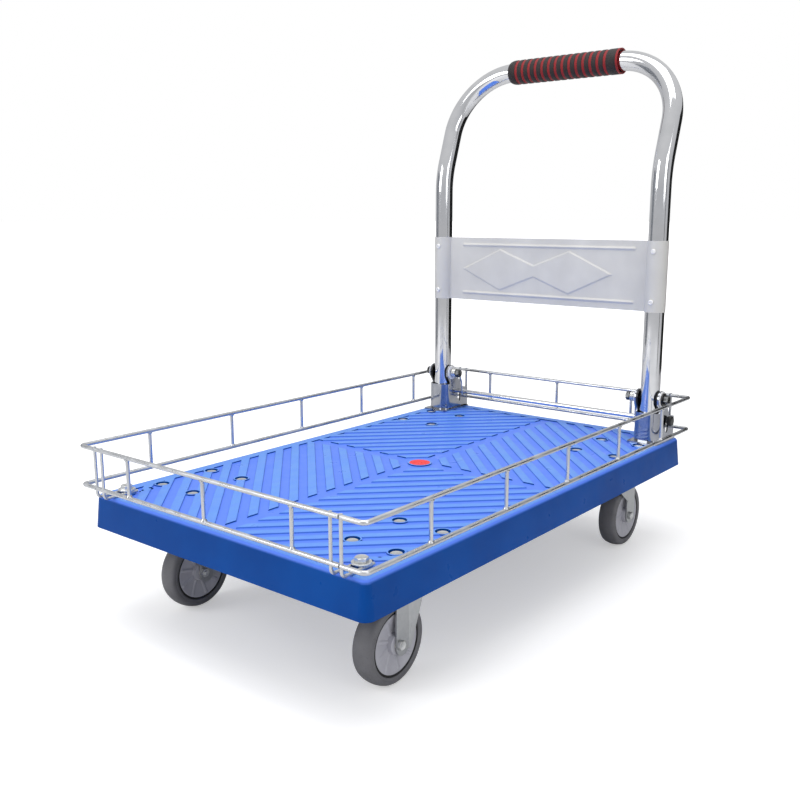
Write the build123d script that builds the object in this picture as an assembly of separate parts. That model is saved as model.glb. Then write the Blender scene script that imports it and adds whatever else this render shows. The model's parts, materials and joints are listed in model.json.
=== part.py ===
from build123d import *
import math
import os

# Folding platform cart with a wire guard rail. Millimetres. +Z is up, +X points to the end away
# from the handle, +Y to the left of someone who faces +X, and the floor is z = 0.

# Deck: a hollow moulding with drafted sides, a sunk field and diamond ribs on top
deck_length = 978.5  # outline at the lower edge
deck_width = 596.0
deck_above_wheels = 34.4  # lower edge above the tops of the wheels
deck_height = 54.6
deck_corner = 16.0
deck_draft = 6.0  # degrees
deck_edge_round = 7.0
deck_wall = 4.5
deck_skin = 5.5
rim_band = 25.0  # flat border round the sunk field
field_corner = 20.0
field_depth = 2.0
rib_step = 43.0  # from rib to rib, measured along X
rib_width = 16.0
rib_taper = 25.0  # degrees
rib_lane = 12.0  # half of the plain lanes that cross at the centre
under_rib = 3.5
under_rib_depth = 24.0
under_rib_step_x = 110.0
under_rib_step_y = 75.0
centre_disc_radius = 19.0
centre_disc_thickness = 1.6
centre_disc_proud = 0.2
centre_disc_rim = 3.0
accessory_hole_radius = 4.0
accessory_hole_depth = 8.0  # right through the skin
accessory_holes_x = (63.0, 82.0)  # from the front edge
accessory_hole_inset_y = 48.0

# Casters: a plate with four bolts each, a rigid pair in front and a swivel pair under the handle
wheel_radius = 63.5
wheel_width = 34.0
tyre_crown = 6.0
tyre_inner_radius = 47.0
tyre_groove = 4.0
tyre_groove_depth = 1.6
hub_rim = 5.0
hub_rim_width = 30.0
hub_boss_radius = 15.0
hub_overhang = 1.3  # beyond each side of the tyre
hub_web = 14.0
hub_spokes = 8
hub_spoke = 4.0
hub_spoke_width = 23.0
axle_hole_gap = 0.1
bush_wall = 3.0
bush_overhang = 0.5  # beyond each end of the hub
axle_radius = 4.0
axle_head = 13.0  # across flats
axle_head_height = 5.3
axle_nut_height = 6.5
running_clearance = 0.05
fork_clearance = 0.5  # each end of the bush to the fork leg
fork_sheet = 3.0
caster_plate_x = 135.0
caster_plate_y = 110.0
caster_plate = 3.5
caster_bolts_x = 105.0
caster_bolts_y = 80.0
caster_inset_y = 82.0  # from the deck's side
front_caster_inset = 162.0  # from the deck's front edge
rear_caster_inset = 169.0
front_axle_lead = 23.0  # axle ahead of the plate's centre
rear_axle_trail = 66.0
pad_height = 2.0  # mounting face above the deck's lower edge
pad_thickness = 6.0
plate_corner = 10.0
fork_wing_turn = 12.0  # degrees that the front legs' rear part is set outwards
fork_face_front = 7.0  # ahead of the front axle
fork_face_rear = 20.0
fork_wing_reach = 38.0  # wing's width at its top
fork_toe_radius = 13.5
fork_toe_drop = 5.0  # toe's centre below the axle
fork_toe_back = 6.5
swivel_leg_front = 14.0  # ahead of the kingpin
swivel_leg_shoulder = 60.0  # behind the kingpin
swivel_leg_rear = 86.0
swivel_leg_width = 32.0
swivel_leg_rear_z_over = 58.5
swivel_gusset_z_over = 33.5
swivel_gusset_x = 26.0
swivel_gusset_top_over = 54.5
swivel_toe_radius = 16.0
swivel_race_wall = 5.0
swivel_ball_inset = 6.0
swivel_gap = 0.3
kingpin_gap = 0.5
swivel_crown_radius = 34.0
swivel_crown_drop = 16.0  # crown's top below the mounting face
swivel_race_radius = 29.0
ball_radius = 3.0
ball_count = 14
kingpin_radius = 6.0
kingpin_head_radius = 11.0
kingpin_head = 5.0

# Fasteners
m10_radius = 5.0
m10_flats = 17.0
m10_head = 6.4
m10_nut = 8.0
m10_washer_radius = 10.0
m10_washer = 2.0
hole_clearance = 0.5
pocket_radius = 11.5
pocket_head_below = 2.0  # bolt head's top below the deck's top
boss_wall = 7.5

# Guard rail: four welded wire panels
rail_top_up = 81.7
rail_low_up = 17.4
rail_wire = 3.5  # radius
post_wire = 3.0
leg_wire = 2.5
rail_overhang_x = 9.0
rail_overhang_y = 6.0
rail_corner = 7.5
rail_gap = 0.3  # end of an end panel's wires to the side panel's leg
leg_bend = 8.0
leg_top_over = 4.5
side_post_step = 183.0
end_post_step = 178.0
leg_pair = 18.0  # between an end panel's leg and the side panel's leg beside it
front_foot = 62.0
rear_foot = 47.0
front_clamp_inset = 48.0  # screw behind the front wires
clamp_washer_radius = 14.0
clamp_washer = 2.5
clamp_screw_depth = 24.0
seat_gap = 0.1

# Handle: one bent tube with a panel and a foam grip
tube_radius = 19.0
tube_wall = 1.5
handle_inset = 73.65  # legs ahead of the deck's rear edge
handle_inset_y = 42.2
handle_height_up = 745.6  # centre of the top bar
handle_bend_start_up = 527.4
handle_lean = 18.5  # degrees
handle_bend = 199.0
handle_corner = 131.0
tube_end_up = 44.0
plug_length = 18.0
plug_lip = 2.5
panel_low_up = 259.0
panel_high_up = 396.0
panel_sheet = 1.2
panel_gap = 0.15
panel_wrap = 35.0  # degrees that the wrap goes on behind the tube's middle
panel_bead = 2.2
panel_bead_inset = 13.0
panel_screw_inset = 20.0
panel_screw_head = 5.0
panel_screw_cap = 2.2
panel_screw_radius = 2.0
panel_screw_length = 8.0
grip_length = 257.0
grip_wall = 6.0
grip_rings = 14
grip_ring_step = 15.3
grip_ring_width = 6.4
grip_ring_depth = 1.0
grip_end_round = 5.0

# Folding hinge and foot lock, one bracket for each leg
hinge_z_up = 87.5
bracket_sheet = 3.0
liner_wall = 3.0
cup_gap = 1.0  # tube to the inner face of the cup in front of it
bracket_corner = 17.0
bracket_rear = 64.0
bracket_rear_top_up = 45.0
cup_top_up = 61.0
cheek_lobe = 17.0
cheek_lip = 6.0
flange_front = 33.0
flange_half = 31.0
flange_corner = 6.0
liner_gap = 0.4
liner_low_up = 48.0
pivot_radius = 5.0
pivot_washer_radius = 16.0
pivot_washer = 2.0
pivot_disc_radius = 13.0
pivot_disc = 3.2
pivot_nut_flats = 16.0
pivot_nut = 10.0
pivot_head = 7.5
sleeve_radius = 8.0
sleeve_length = 14.0
spring_wire = 1.5
spring_coil_radius = 10.0
lock_radius = 5.0
lock_behind = 30.0
lock_z_up = 40.0
lock_travel = 20.0
lock_slot_clearance = 0.3
lock_cap_radius = 10.0
lock_cap_gap = 1.5
lock_cap = 10.0
lock_end = 7.0  # rod end left inside the cap
bracket_bolt_front = 6.0  # ahead of the leg
bracket_bolt_rear = 48.0  # behind the leg
bracket_boss_height = 22.0

# Worked-out sizes and places. Names that end in _up are heights above the deck's top, names that
# end in _over heights above the wheels' axles.
hub_length = wheel_width + 2 * hub_overhang
bush_length = hub_length + 2 * bush_overhang
fork_gap = bush_length + 2 * fork_clearance
grip_radius = tube_radius + grip_wall
bracket_half = tube_radius + liner_gap + liner_wall + seat_gap + bracket_sheet  # outer half width
bracket_front = tube_radius + cup_gap + bracket_sheet
deck_bottom = 2 * wheel_radius + deck_above_wheels
deck_top = deck_bottom + deck_height
rail_top = deck_top + rail_top_up
rail_low = deck_top + rail_low_up
handle_height = deck_top + handle_height_up
handle_bend_start = deck_top + handle_bend_start_up
tube_end = deck_top + tube_end_up
panel_low = deck_top + panel_low_up
panel_high = deck_top + panel_high_up
hinge_z = deck_top + hinge_z_up
bracket_rear_top = deck_top + bracket_rear_top_up
cup_top = deck_top + cup_top_up
liner_low = deck_top + liner_low_up
lock_z = deck_top + lock_z_up
swivel_leg_rear_z = wheel_radius + swivel_leg_rear_z_over
swivel_gusset_z = wheel_radius + swivel_gusset_z_over
swivel_gusset_top = wheel_radius + swivel_gusset_top_over
half_length = deck_length / 2
half_width = deck_width / 2
draft_run = deck_height * math.tan(math.radians(deck_draft))
disc_low = deck_top + centre_disc_proud - centre_disc_thickness
mount_z = deck_bottom + pad_height
front_caster_x = half_length - front_caster_inset
rear_caster_x = -half_length + rear_caster_inset
caster_y = half_width - caster_inset_y
front_axle_x = front_caster_x + front_axle_lead
rear_axle_x = rear_caster_x - rear_axle_trail
leg_x = -half_length + handle_inset
leg_y = half_width - handle_inset_y
rail_x = half_length + rail_overhang_x
rail_y = half_width + rail_overhang_y
front_foot_z = deck_top + seat_gap + leg_wire
rear_foot_z = front_foot_z + bracket_sheet  # the rear feet lie in the brackets
lean_drop = (handle_height - handle_bend_start) * math.tan(math.radians(handle_lean))
bar_x = leg_x - lean_drop
rear_reach = max(rail_x + rail_wire, -bar_x + grip_radius)
frame_shift = (rear_reach - rail_x - rail_wire) / 2  # puts the whole cart's middle at x = 0
UP = (Align.CENTER, Align.CENTER, Align.MIN)

os.makedirs("parts", exist_ok=True)


def save(name, *shapes):
    """Write the solids as one node, moved into the frame of the cart."""
    group = Compound(children=[Pos(frame_shift, 0, 0) * solid for s in shapes for solid in s.solids()])
    group.label = name
    export_step(group, "parts/" + name + ".step")


def peg(radius, z0, z1, x=0.0, y=0.0):
    """Upright cylinder from z0 to z1."""
    return Pos(x, y, z0) * Cylinder(radius, z1 - z0, align=UP)


def peg_y(radius, y0, y1, x, z):
    """Cylinder along Y from y0 to y1."""
    return Pos(x, min(y0, y1), z) * Rot(-90, 0, 0) * Cylinder(radius, abs(y1 - y0), align=UP)


def peg_x(radius, x0, x1, y, z):
    """Cylinder along X from x0 to x1."""
    return Pos(x0, y, z) * Rot(0, 90, 0) * Cylinder(radius, x1 - x0, align=UP)


def hexagon(flats, z0, z1, x=0.0, y=0.0):
    """Upright hexagon prism."""
    outline = RegularPolygon(flats / 2, 6, major_radius=False)
    return Pos(x, y, z0) * extrude(outline, amount=z1 - z0)


def hexagon_y(flats, y0, y1, x, z):
    """Hexagon prism along Y."""
    prism = extrude(RegularPolygon(flats / 2, 6, major_radius=False), amount=abs(y1 - y0))
    return Pos(x, min(y0, y1), z) * Rot(-90, 0, 0) * prism


def plate_xz(outline, y0, y1):
    """Upright plate with its outline in X and Z, between two Y values."""
    low = min(y0, y1)
    return Pos(0, low, 0) * extrude(Plane.XZ * outline, amount=abs(y1 - y0), dir=(0, 1, 0))


def wire(points, radius, bends):
    """Round wire along straight runs joined by bends."""
    path = FilletPolyline(*points, radius=bends)
    start = Plane(path @ 0, z_dir=path % 0)
    return sweep(start * Circle(radius), path=path)


def mirrored(shape):
    """The same piece on the other side of the cart."""
    return mirror(shape, about=Plane.XZ)


def caster_points(x, y):
    """The four bolt places of one caster."""
    return [
        (x + sx * caster_bolts_x / 2, y + sy * caster_bolts_y / 2)
        for sx in (-1, 1)
        for sy in (-1, 1)
    ]


casters = [(x, sy * caster_y) for x in (front_caster_x, rear_caster_x) for sy in (-1, 1)]
caster_bolts = [p for x, y in casters for p in caster_points(x, y)]
bracket_bolts = [
    (leg_x + dx, sy * leg_y)
    for dx in (bracket_bolt_front, -bracket_bolt_rear)
    for sy in (-1, 1)
]
clamps = [(rail_x - front_clamp_inset, sy * leg_y) for sy in (-1, 1)]


# Deck
def deck_ribs():
    """Raised ribs in rings of diamonds about the centre, cut by two plain lanes."""
    reach_x = half_length - draft_run - rim_band
    reach_y = half_width - draft_run - rim_band
    corner = RectangleRounded(2 * reach_x, 2 * reach_y, field_corner)
    quarter = Pos((rib_lane + reach_x) / 2, (rib_lane + reach_y) / 2) * Rectangle(
        reach_x - rib_lane, reach_y - rib_lane
    )
    quarter = Pos(0, 0, deck_top - field_depth) * extrude(quarter & corner, amount=field_depth)
    span = reach_x + reach_y
    slope = field_depth * math.tan(math.radians(rib_taper))
    section = Polygon(
        (-rib_width / 2, 0),
        (rib_width / 2, 0),
        (rib_width / 2 - slope, field_depth),
        (slope - rib_width / 2, field_depth),
        align=None,
    )
    bar = Pos(0, span, 0) * extrude(Plane.XZ * section, amount=2 * span)
    ribs = []
    for k in range(1, int(span / rib_step)):
        middle = rib_step * (k + 0.5) / 2
        cut = (Pos(middle, middle, deck_top - field_depth) * Rot(0, 0, 45) * bar) & quarter
        ribs += [solid for solid in cut.solids() if solid.volume > rib_width**2 * field_depth]
    for flip in (Plane.XZ, Plane.YZ):
        ribs += [mirror(rib, about=flip) for rib in ribs]
    return ribs


def deck_shell():
    outline = RectangleRounded(deck_length, deck_width, deck_corner)
    outer = extrude(outline, amount=deck_height, taper=deck_draft)
    outer = fillet(outer.faces().sort_by(Axis.Z)[-1].edges(), deck_edge_round)
    inner_outline = RectangleRounded(
        deck_length - 2 * deck_wall, deck_width - 2 * deck_wall, deck_corner - deck_wall
    )
    cavity = extrude(inner_outline, amount=deck_height - deck_skin, taper=deck_draft)
    lattice = []
    rows = int((half_width - boss_wall) / under_rib_step_y)
    columns = int((half_length - boss_wall) / under_rib_step_x)
    slab_z = deck_height - deck_skin - under_rib_depth
    for row in range(-rows, rows + 1):
        bar = Box(deck_length, under_rib, under_rib_depth, align=UP)
        lattice.append(Pos(0, row * under_rib_step_y, slab_z) * bar)
    for column in range(-columns, columns + 1):
        bar = Box(under_rib, deck_width, under_rib_depth, align=UP)
        lattice.append(Pos(column * under_rib_step_x, 0, slab_z) * bar)
    solid = Part() + lattice
    roof = deck_height - deck_skin
    for x, y in casters:
        pad = Box(caster_plate_x, caster_plate_y, pad_thickness, align=UP)
        solid += Pos(x, y, pad_height) * pad
        for side in (-1, 1):
            web = Box(caster_plate_x, under_rib, roof - pad_height, align=UP)
            solid += Pos(x, y + side * (caster_plate_y - under_rib) / 2, pad_height) * web
    for x, y in caster_bolts:
        solid += peg(pocket_radius + deck_wall / 2, pad_height, roof, x, y)
    for x, y in bracket_bolts:
        solid += peg(m10_radius + boss_wall, roof - bracket_boss_height, roof, x, y)
    for x, y in clamps:
        solid += peg(m10_radius + boss_wall / 2, roof - clamp_screw_depth, roof, x, y)
    deck = outer - (cavity - solid)
    deck = Pos(0, 0, deck_bottom) * deck
    field = RectangleRounded(
        deck_length - 2 * (draft_run + rim_band), deck_width - 2 * (draft_run + rim_band), field_corner
    )
    deck -= Pos(0, 0, deck_top - field_depth) * extrude(field, amount=field_depth * 2)
    deck += deck_ribs()
    seat = deck_top - pocket_head_below - m10_head
    for x, y in caster_bolts:
        deck += peg(pocket_radius + deck_wall / 2, deck_top - field_depth, deck_top, x, y)
        deck -= peg(pocket_radius, seat, deck_top + 1, x, y)
        deck -= peg(m10_radius + hole_clearance, deck_bottom, deck_top, x, y)
    for x, y in bracket_bolts:
        deck += peg(m10_radius + boss_wall, deck_top - field_depth, deck_top, x, y)
        deck -= peg(m10_radius + hole_clearance, deck_bottom, deck_top + 1, x, y)
    screw_end = deck_top - deck_skin - clamp_screw_depth
    for x, y in clamps:
        deck += peg(clamp_washer_radius, deck_top - field_depth, deck_top, x, y)
        deck -= peg(m10_radius + running_clearance, screw_end, deck_top + 1, x, y)
    for inset in accessory_holes_x:
        for side in (-1, 1):
            hole_y = side * (half_width - accessory_hole_inset_y)
            floor = deck_top - accessory_hole_depth
            deck -= peg(accessory_hole_radius, floor, deck_top + 1, half_length - inset, hole_y)
    deck += peg(centre_disc_radius + centre_disc_rim, deck_top - field_depth, deck_top)
    deck -= peg(centre_disc_radius, disc_low, deck_top + 1)
    return deck


save("deck_shell", deck_shell())
disc_radius = centre_disc_radius - seat_gap
save("deck_centre_disc", peg(disc_radius, disc_low, disc_low + centre_disc_thickness))


# Caster bolts: heads sunk in the deck, nuts under the caster plates
def caster_fasteners():
    seat = deck_top - pocket_head_below - m10_head
    under = mount_z - caster_plate
    bolts = []
    washers = []
    nuts = []
    for x, y in caster_bolts:
        low = under - m10_washer - m10_nut - 1.5
        bolts.append(hexagon(m10_flats, seat, seat + m10_head, x, y) + peg(m10_radius, low, seat, x, y))
        hole = peg(m10_radius, low, mount_z, x, y)
        washers.append(peg(m10_washer_radius - 1.5, under - m10_washer, under, x, y) - hole)
        nuts.append(hexagon(m10_flats, under - m10_washer - m10_nut, under - m10_washer, x, y) - hole)
    return bolts, washers, nuts


bolts, washers, nuts = caster_fasteners()
save("caster_bolts", *bolts)
save("caster_washers", *washers)
save("caster_nuts", *nuts)


# Wheels
def tyre():
    half = wheel_width / 2
    profile = Polyline(
        (tyre_inner_radius, -half + tyre_groove_depth),
        (tyre_inner_radius + tyre_groove, -half + tyre_groove_depth),
        (tyre_inner_radius + tyre_groove, -half),
        (wheel_radius - tyre_crown, -half),
        (wheel_radius - 1, -half + tyre_crown),
        (wheel_radius, 0),
        (wheel_radius - 1, half - tyre_crown),
        (wheel_radius - tyre_crown, half),
        (tyre_inner_radius + tyre_groove, half),
        (tyre_inner_radius + tyre_groove, half - tyre_groove_depth),
        (tyre_inner_radius, half - tyre_groove_depth),
        close=True,
    )
    return revolve(make_face(profile), axis=Axis.Y)


def hub():
    rim = Cylinder(tyre_inner_radius, hub_rim_width) - Cylinder(tyre_inner_radius - hub_rim, hub_rim_width)
    web = Cylinder(tyre_inner_radius - hub_rim / 2, hub_web)
    boss = Cylinder(hub_boss_radius, hub_length)
    solid = rim + web + boss
    reach = tyre_inner_radius - hub_rim / 2
    for k in range(hub_spokes):
        spoke = Pos(reach / 2, 0, 0) * Box(reach, hub_spoke, hub_spoke_width)
        solid += Rot(0, 0, 360 / hub_spokes * k) * spoke
    solid -= Cylinder(axle_radius + running_clearance + bush_wall, hub_length)
    return Rot(90, 0, 0) * solid


def bush():
    bore = axle_radius + running_clearance
    return Rot(90, 0, 0) * (Cylinder(bore + bush_wall, bush_length) - Cylinder(bore, bush_length))


def axle_bolt(side):
    """Axle with its head on the cart's outer side."""
    outer = side * (fork_gap / 2 + fork_sheet)
    shaft = peg_y(axle_radius, -outer - side * (axle_nut_height + 2), outer, 0, 0)
    return shaft + hexagon_y(axle_head, outer, outer + side * axle_head_height, 0, 0)


def axle_nut(side):
    inner = -side * (fork_gap / 2 + fork_sheet)
    nut = hexagon_y(axle_head, inner, inner - side * axle_nut_height, 0, 0)
    return nut - peg_y(axle_radius, inner, inner - side * axle_nut_height, 0, 0)


def plate_with_holes(x, y):
    """Caster plate under the mounting face."""
    plate = Pos(x, y, mount_z - caster_plate) * extrude(
        RectangleRounded(caster_plate_x, caster_plate_y, 10), amount=caster_plate
    )
    for bx, by in caster_points(x, y):
        plate -= peg(m10_radius + hole_clearance, mount_z - caster_plate, mount_z, bx, by)
    return plate


def rigid_fork(side):
    """Pressed fork: a flat leg with its rear part set outwards, on each side of the wheel."""
    y = side * caster_y
    fork = plate_with_holes(front_caster_x, y)
    top = mount_z - caster_plate / 2
    toe_x = -fork_toe_back
    toe_z = wheel_radius - fork_toe_drop
    face = Polygon(
        (fork_face_front, top),
        (-fork_face_rear, top),
        (-fork_face_rear, wheel_radius),
        (fork_face_front, wheel_radius),
        align=None,
    )
    face += Pos(toe_x, toe_z) * Circle(fork_toe_radius)
    flange = Polygon(
        (0, top),
        (-fork_wing_reach, top),
        (-fork_toe_radius / 3, toe_z - fork_face_front),
        (0, toe_z - fork_face_front),
        align=None,
    )
    eye = peg_y(axle_radius + axle_hole_gap, -fork_gap, fork_gap, 0, wheel_radius)
    for hand in (-1, 1):
        inner = hand * fork_gap / 2
        leg = plate_xz(face, inner, inner + hand * fork_sheet)
        wing = plate_xz(flange, 0, hand * fork_sheet)
        leg += Pos(-fork_face_rear, inner, 0) * Rot(0, 0, -hand * fork_wing_turn) * wing
        fork += Pos(front_axle_x, y, 0) * (leg - eye)
    return fork


def swivel_plate(side):
    y = side * caster_y
    low = mount_z - swivel_crown_drop + 2 * (ball_radius + swivel_gap)
    race = peg(swivel_race_radius + swivel_race_wall, low, mount_z - caster_plate, rear_caster_x, y)
    plate = plate_with_holes(rear_caster_x, y) + race
    ring = Torus(swivel_race_radius - swivel_ball_inset, ball_radius + swivel_gap)
    plate -= Pos(rear_caster_x, y, low - swivel_gap) * ring
    return plate - peg(kingpin_radius, low, mount_z, rear_caster_x, y)


def kingpin(side):
    y = side * caster_y
    crown_low = mount_z - swivel_crown_drop - fork_sheet - kingpin_gap
    pin = peg(kingpin_radius, crown_low - kingpin_head, mount_z, rear_caster_x, y)
    return pin + peg(kingpin_head_radius, crown_low - kingpin_head, crown_low, rear_caster_x, y)


def swivel_balls(side):
    z = mount_z - swivel_crown_drop + ball_radius + swivel_gap
    reach = swivel_race_radius - swivel_ball_inset
    balls = []
    for k in range(ball_count):
        turn = 2 * math.pi * k / ball_count
        x = rear_caster_x + reach * math.cos(turn)
        y = side * caster_y + reach * math.sin(turn)
        balls.append(Pos(x, y, z) * Sphere(ball_radius))
    return balls


def swivel_fork(side):
    """Crown disc with two legs that trail back to the axle."""
    y = side * caster_y
    top = mount_z - swivel_crown_drop
    crown = peg(swivel_crown_radius, top - fork_sheet, top, rear_caster_x, 0)
    bridge_length = swivel_leg_front + swivel_leg_shoulder
    bridge = Box(bridge_length, fork_gap + 2 * fork_sheet, fork_sheet, align=UP)
    crown += Pos(rear_caster_x + swivel_leg_front - bridge_length / 2, 0, top - fork_sheet) * bridge
    inner_x = swivel_leg_width - swivel_leg_rear
    outline = Polygon(
        (swivel_leg_front, top),
        (-swivel_leg_shoulder, top),
        (-swivel_leg_rear, swivel_leg_rear_z),
        (-swivel_leg_rear, wheel_radius),
        (inner_x, wheel_radius),
        (inner_x, swivel_gusset_z),
        (-swivel_gusset_x, swivel_gusset_top),
        align=None,
    )
    outline += Pos(inner_x - swivel_leg_width / 2, wheel_radius) * Circle(swivel_toe_radius)
    for hand in (-1, 1):
        inner = hand * fork_gap / 2
        crown += Pos(rear_caster_x, 0, 0) * plate_xz(outline, inner, inner + hand * fork_sheet)
    crown -= peg_y(axle_radius + axle_hole_gap, -fork_gap, fork_gap, rear_axle_x, wheel_radius)
    crown -= peg(kingpin_radius + running_clearance, top - fork_sheet, top, rear_caster_x, 0)
    return Pos(0, y, 0) * crown


for side, hand in ((1, "left"), (-1, "right")):
    for end, x in (("front", front_axle_x), ("rear", rear_axle_x)):
        place = Pos(x, side * caster_y, wheel_radius)
        save(end + "_tyre_" + hand, place * tyre())
        save(end + "_hub_" + hand, place * hub())
        save(end + "_bush_" + hand, place * bush())
        save(end + "_axle_" + hand, place * axle_bolt(side), place * axle_nut(side))
    save("front_fork_" + hand, rigid_fork(side))
    save("rear_plate_" + hand, swivel_plate(side))
    save("rear_kingpin_" + hand, kingpin(side))
    save("rear_balls_" + hand, *swivel_balls(side))
    save("rear_fork_" + hand, swivel_fork(side))


# Guard rail
def leg_and_foot(end, y):
    """Upright wire whose lower end bends in over the deck's edge. end is 1 in front, -1 behind."""
    foot = front_foot if end > 0 else rear_foot
    z = front_foot_z if end > 0 else rear_foot_z
    x = end * rail_x
    points = [(x, y, rail_top + leg_top_over), (x, y, z), (x - end * foot, y, z)]
    return wire(points, leg_wire, [leg_bend])


def end_panel(end):
    half = leg_y - leg_pair / 2
    reach = leg_y + leg_pair / 2 - leg_wire - rail_gap
    panel = Part()
    for z in (rail_top, rail_low):
        panel += peg_y(rail_wire, -reach, reach, end * rail_x, z)
    for k in (-1, 0, 1):
        panel += peg(post_wire, rail_low, rail_top, end * rail_x, k * end_post_step)
    for hand in (-1, 1):
        panel += leg_and_foot(end, hand * half)
    return panel


def side_panel(side):
    y = side * rail_y
    leg = side * (leg_y + leg_pair / 2)
    panel = Part()
    for z in (rail_top, rail_low):
        points = [(rail_x, leg, z), (rail_x, y, z), (-rail_x, y, z), (-rail_x, leg, z)]
        panel += wire(points, rail_wire, [rail_corner, rail_corner])
    for k in (-2, -1, 0, 1, 2):
        panel += peg(post_wire, rail_low, rail_top, k * side_post_step, y)
    for end in (-1, 1):
        panel += leg_and_foot(end, leg)
    return panel


save("rail_front", end_panel(1))
save("rail_rear", end_panel(-1))
save("rail_left", side_panel(1))
save("rail_right", side_panel(-1))

# Screws and washers that hold the wires' front feet on the deck
clamp_screws = []
clamp_washers = []
for x, y in clamps:
    low = front_foot_z + leg_wire + seat_gap
    high = low + clamp_washer
    shank = peg(m10_radius, deck_top - clamp_screw_depth, high, x, y)
    clamp_screws.append(hexagon(m10_flats, high, high + m10_head, x, y) + shank)
    clamp_washers.append(peg(clamp_washer_radius, low, high, x, y) - peg(m10_radius, low, high, x, y))
save("rail_clamp_screws", *clamp_screws)
save("rail_clamp_washers", *clamp_washers)


# Handle
def handle_path():
    return FilletPolyline(
        (leg_x, -leg_y, tube_end),
        (leg_x, -leg_y, handle_bend_start),
        (bar_x, -leg_y, handle_height),
        (bar_x, leg_y, handle_height),
        (leg_x, leg_y, handle_bend_start),
        (leg_x, leg_y, tube_end),
        radius=[handle_bend, handle_corner, handle_corner, handle_bend],
    )


def handle_tube():
    path = handle_path()
    start = Plane(path @ 0, z_dir=path % 0)
    tube = sweep(start * Circle(tube_radius), path=path)
    tube -= sweep(start * Circle(tube_radius - tube_wall), path=path)
    bore = pivot_radius + running_clearance
    for y in (-leg_y, leg_y):
        tube -= peg_y(bore, y - 2 * tube_radius, y + 2 * tube_radius, leg_x, hinge_z)
    return tube


def panel():
    """Sheet between the legs that wraps round the front of each tube."""
    inner = tube_radius + panel_gap
    outer = inner + panel_sheet
    behind = math.sin(math.radians(panel_wrap)) * inner
    plan = Rectangle(panel_sheet, 2 * (leg_y - inner - panel_sheet / 2))
    for side in (-1, 1):
        wrap = Circle(outer) - Circle(inner)
        wrap -= Pos(-outer - behind, 0) * Rectangle(2 * outer, 4 * outer)
        wrap -= Pos(-outer - panel_sheet / 2, -side * outer) * Rectangle(2 * outer, 2 * outer)
        plan += Pos(0, side * leg_y) * wrap
    sheet = Pos(leg_x, 0, panel_low) * extrude(plan, amount=panel_high - panel_low)
    for side in (-1, 1):
        for z in panel_screw_z:
            sheet -= peg_x(panel_screw_radius, leg_x, leg_x + 2 * outer, side * leg_y, z)
    half = leg_y - outer - panel_bead_inset
    for z in (panel_low + panel_bead_inset, panel_high - panel_bead_inset):
        front = Pos(leg_x + panel_bead, 0, z) * Box(2 * panel_bead, 2 * half, 3 * panel_bead)
        sheet += peg_y(panel_bead, -half, half, leg_x, z) & front
    return sheet


panel_screw_z = (panel_low + panel_screw_inset, panel_high - panel_screw_inset)
panel_screws = []
for side in (-1, 1):
    for z in panel_screw_z:
        face = leg_x + tube_radius + panel_gap + panel_sheet
        screw = peg_x(panel_screw_radius, face - panel_screw_length, face, side * leg_y, z)
        head = peg_x(panel_screw_head, face, face + panel_screw_cap, side * leg_y, z)
        panel_screws.append(screw + head)

tube = handle_tube()
for side in (-1, 1):
    for z in panel_screw_z:
        tube -= peg_x(panel_screw_radius, leg_x, leg_x + tube_radius + 1, side * leg_y, z)
save("handle_tube", tube)
save("handle_panel", panel())
save("handle_panel_screws", *panel_screws)


def tube_plug(side):
    y = side * leg_y
    bung = peg(tube_radius - tube_wall, tube_end, tube_end + plug_length, leg_x, y)
    return bung + peg(tube_radius, tube_end - plug_lip, tube_end, leg_x, y)


save("handle_tube_plugs", tube_plug(1), tube_plug(-1))


def grip():
    half = grip_length / 2
    foam = Rot(90, 0, 0) * Cylinder(grip_radius, grip_length)
    foam = fillet(foam.edges(), grip_end_round)
    rings = []
    for k in range(grip_rings):
        y = (k - (grip_rings - 1) / 2) * grip_ring_step
        ring = peg_y(grip_radius, y - grip_ring_width / 2, y + grip_ring_width / 2, 0, 0)
        ring -= peg_y(grip_radius - grip_ring_depth, y - half, y + half, 0, 0)
        rings.append(Pos(bar_x, 0, handle_height) * ring)
        foam -= ring
    foam -= Rot(90, 0, 0) * Cylinder(tube_radius, grip_length)
    return Pos(bar_x, 0, handle_height) * foam, rings


foam, rings = grip()
save("grip_foam", foam)
save("grip_rings", *rings)


# Hinge brackets, each with a cup in front of the leg and two cheeks beside it
def bracket_walls():
    """U of sheet in plan, open behind, up to the cup's rim."""
    depth = bracket_front + bracket_rear
    middle = (bracket_front - bracket_rear) / 2
    height = cup_top - deck_top
    solid = extrude(RectangleRounded(depth, 2 * bracket_half, bracket_corner), amount=height)
    inner = RectangleRounded(
        depth - 2 * bracket_sheet, 2 * (bracket_half - bracket_sheet), bracket_corner - bracket_sheet
    )
    ring = Pos(middle, 0, 0) * (solid - extrude(inner, amount=height))
    keep = Box(2 * (bracket_front - cheek_lip), 4 * bracket_half, height, align=UP)
    return Pos(leg_x, 0, deck_top) * (ring & (Pos(bracket_front, 0, 0) * keep))


def cheek_outline(lobe, low, front, rear, rear_top):
    """Plate beside the leg, round about the pivot, with a rear arm."""
    body = Polygon(
        (-lobe, hinge_z),
        (-lock_behind - 2 * lock_radius, rear_top + lock_radius),
        (-rear, rear_top),
        (-rear, low),
        (front, low),
        (front, cup_top + 2),
        (lobe * 0.95, hinge_z - lobe * 0.5),
        (lobe, hinge_z),
        align=None,
    )
    return body + Pos(0, hinge_z) * Circle(lobe)


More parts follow.
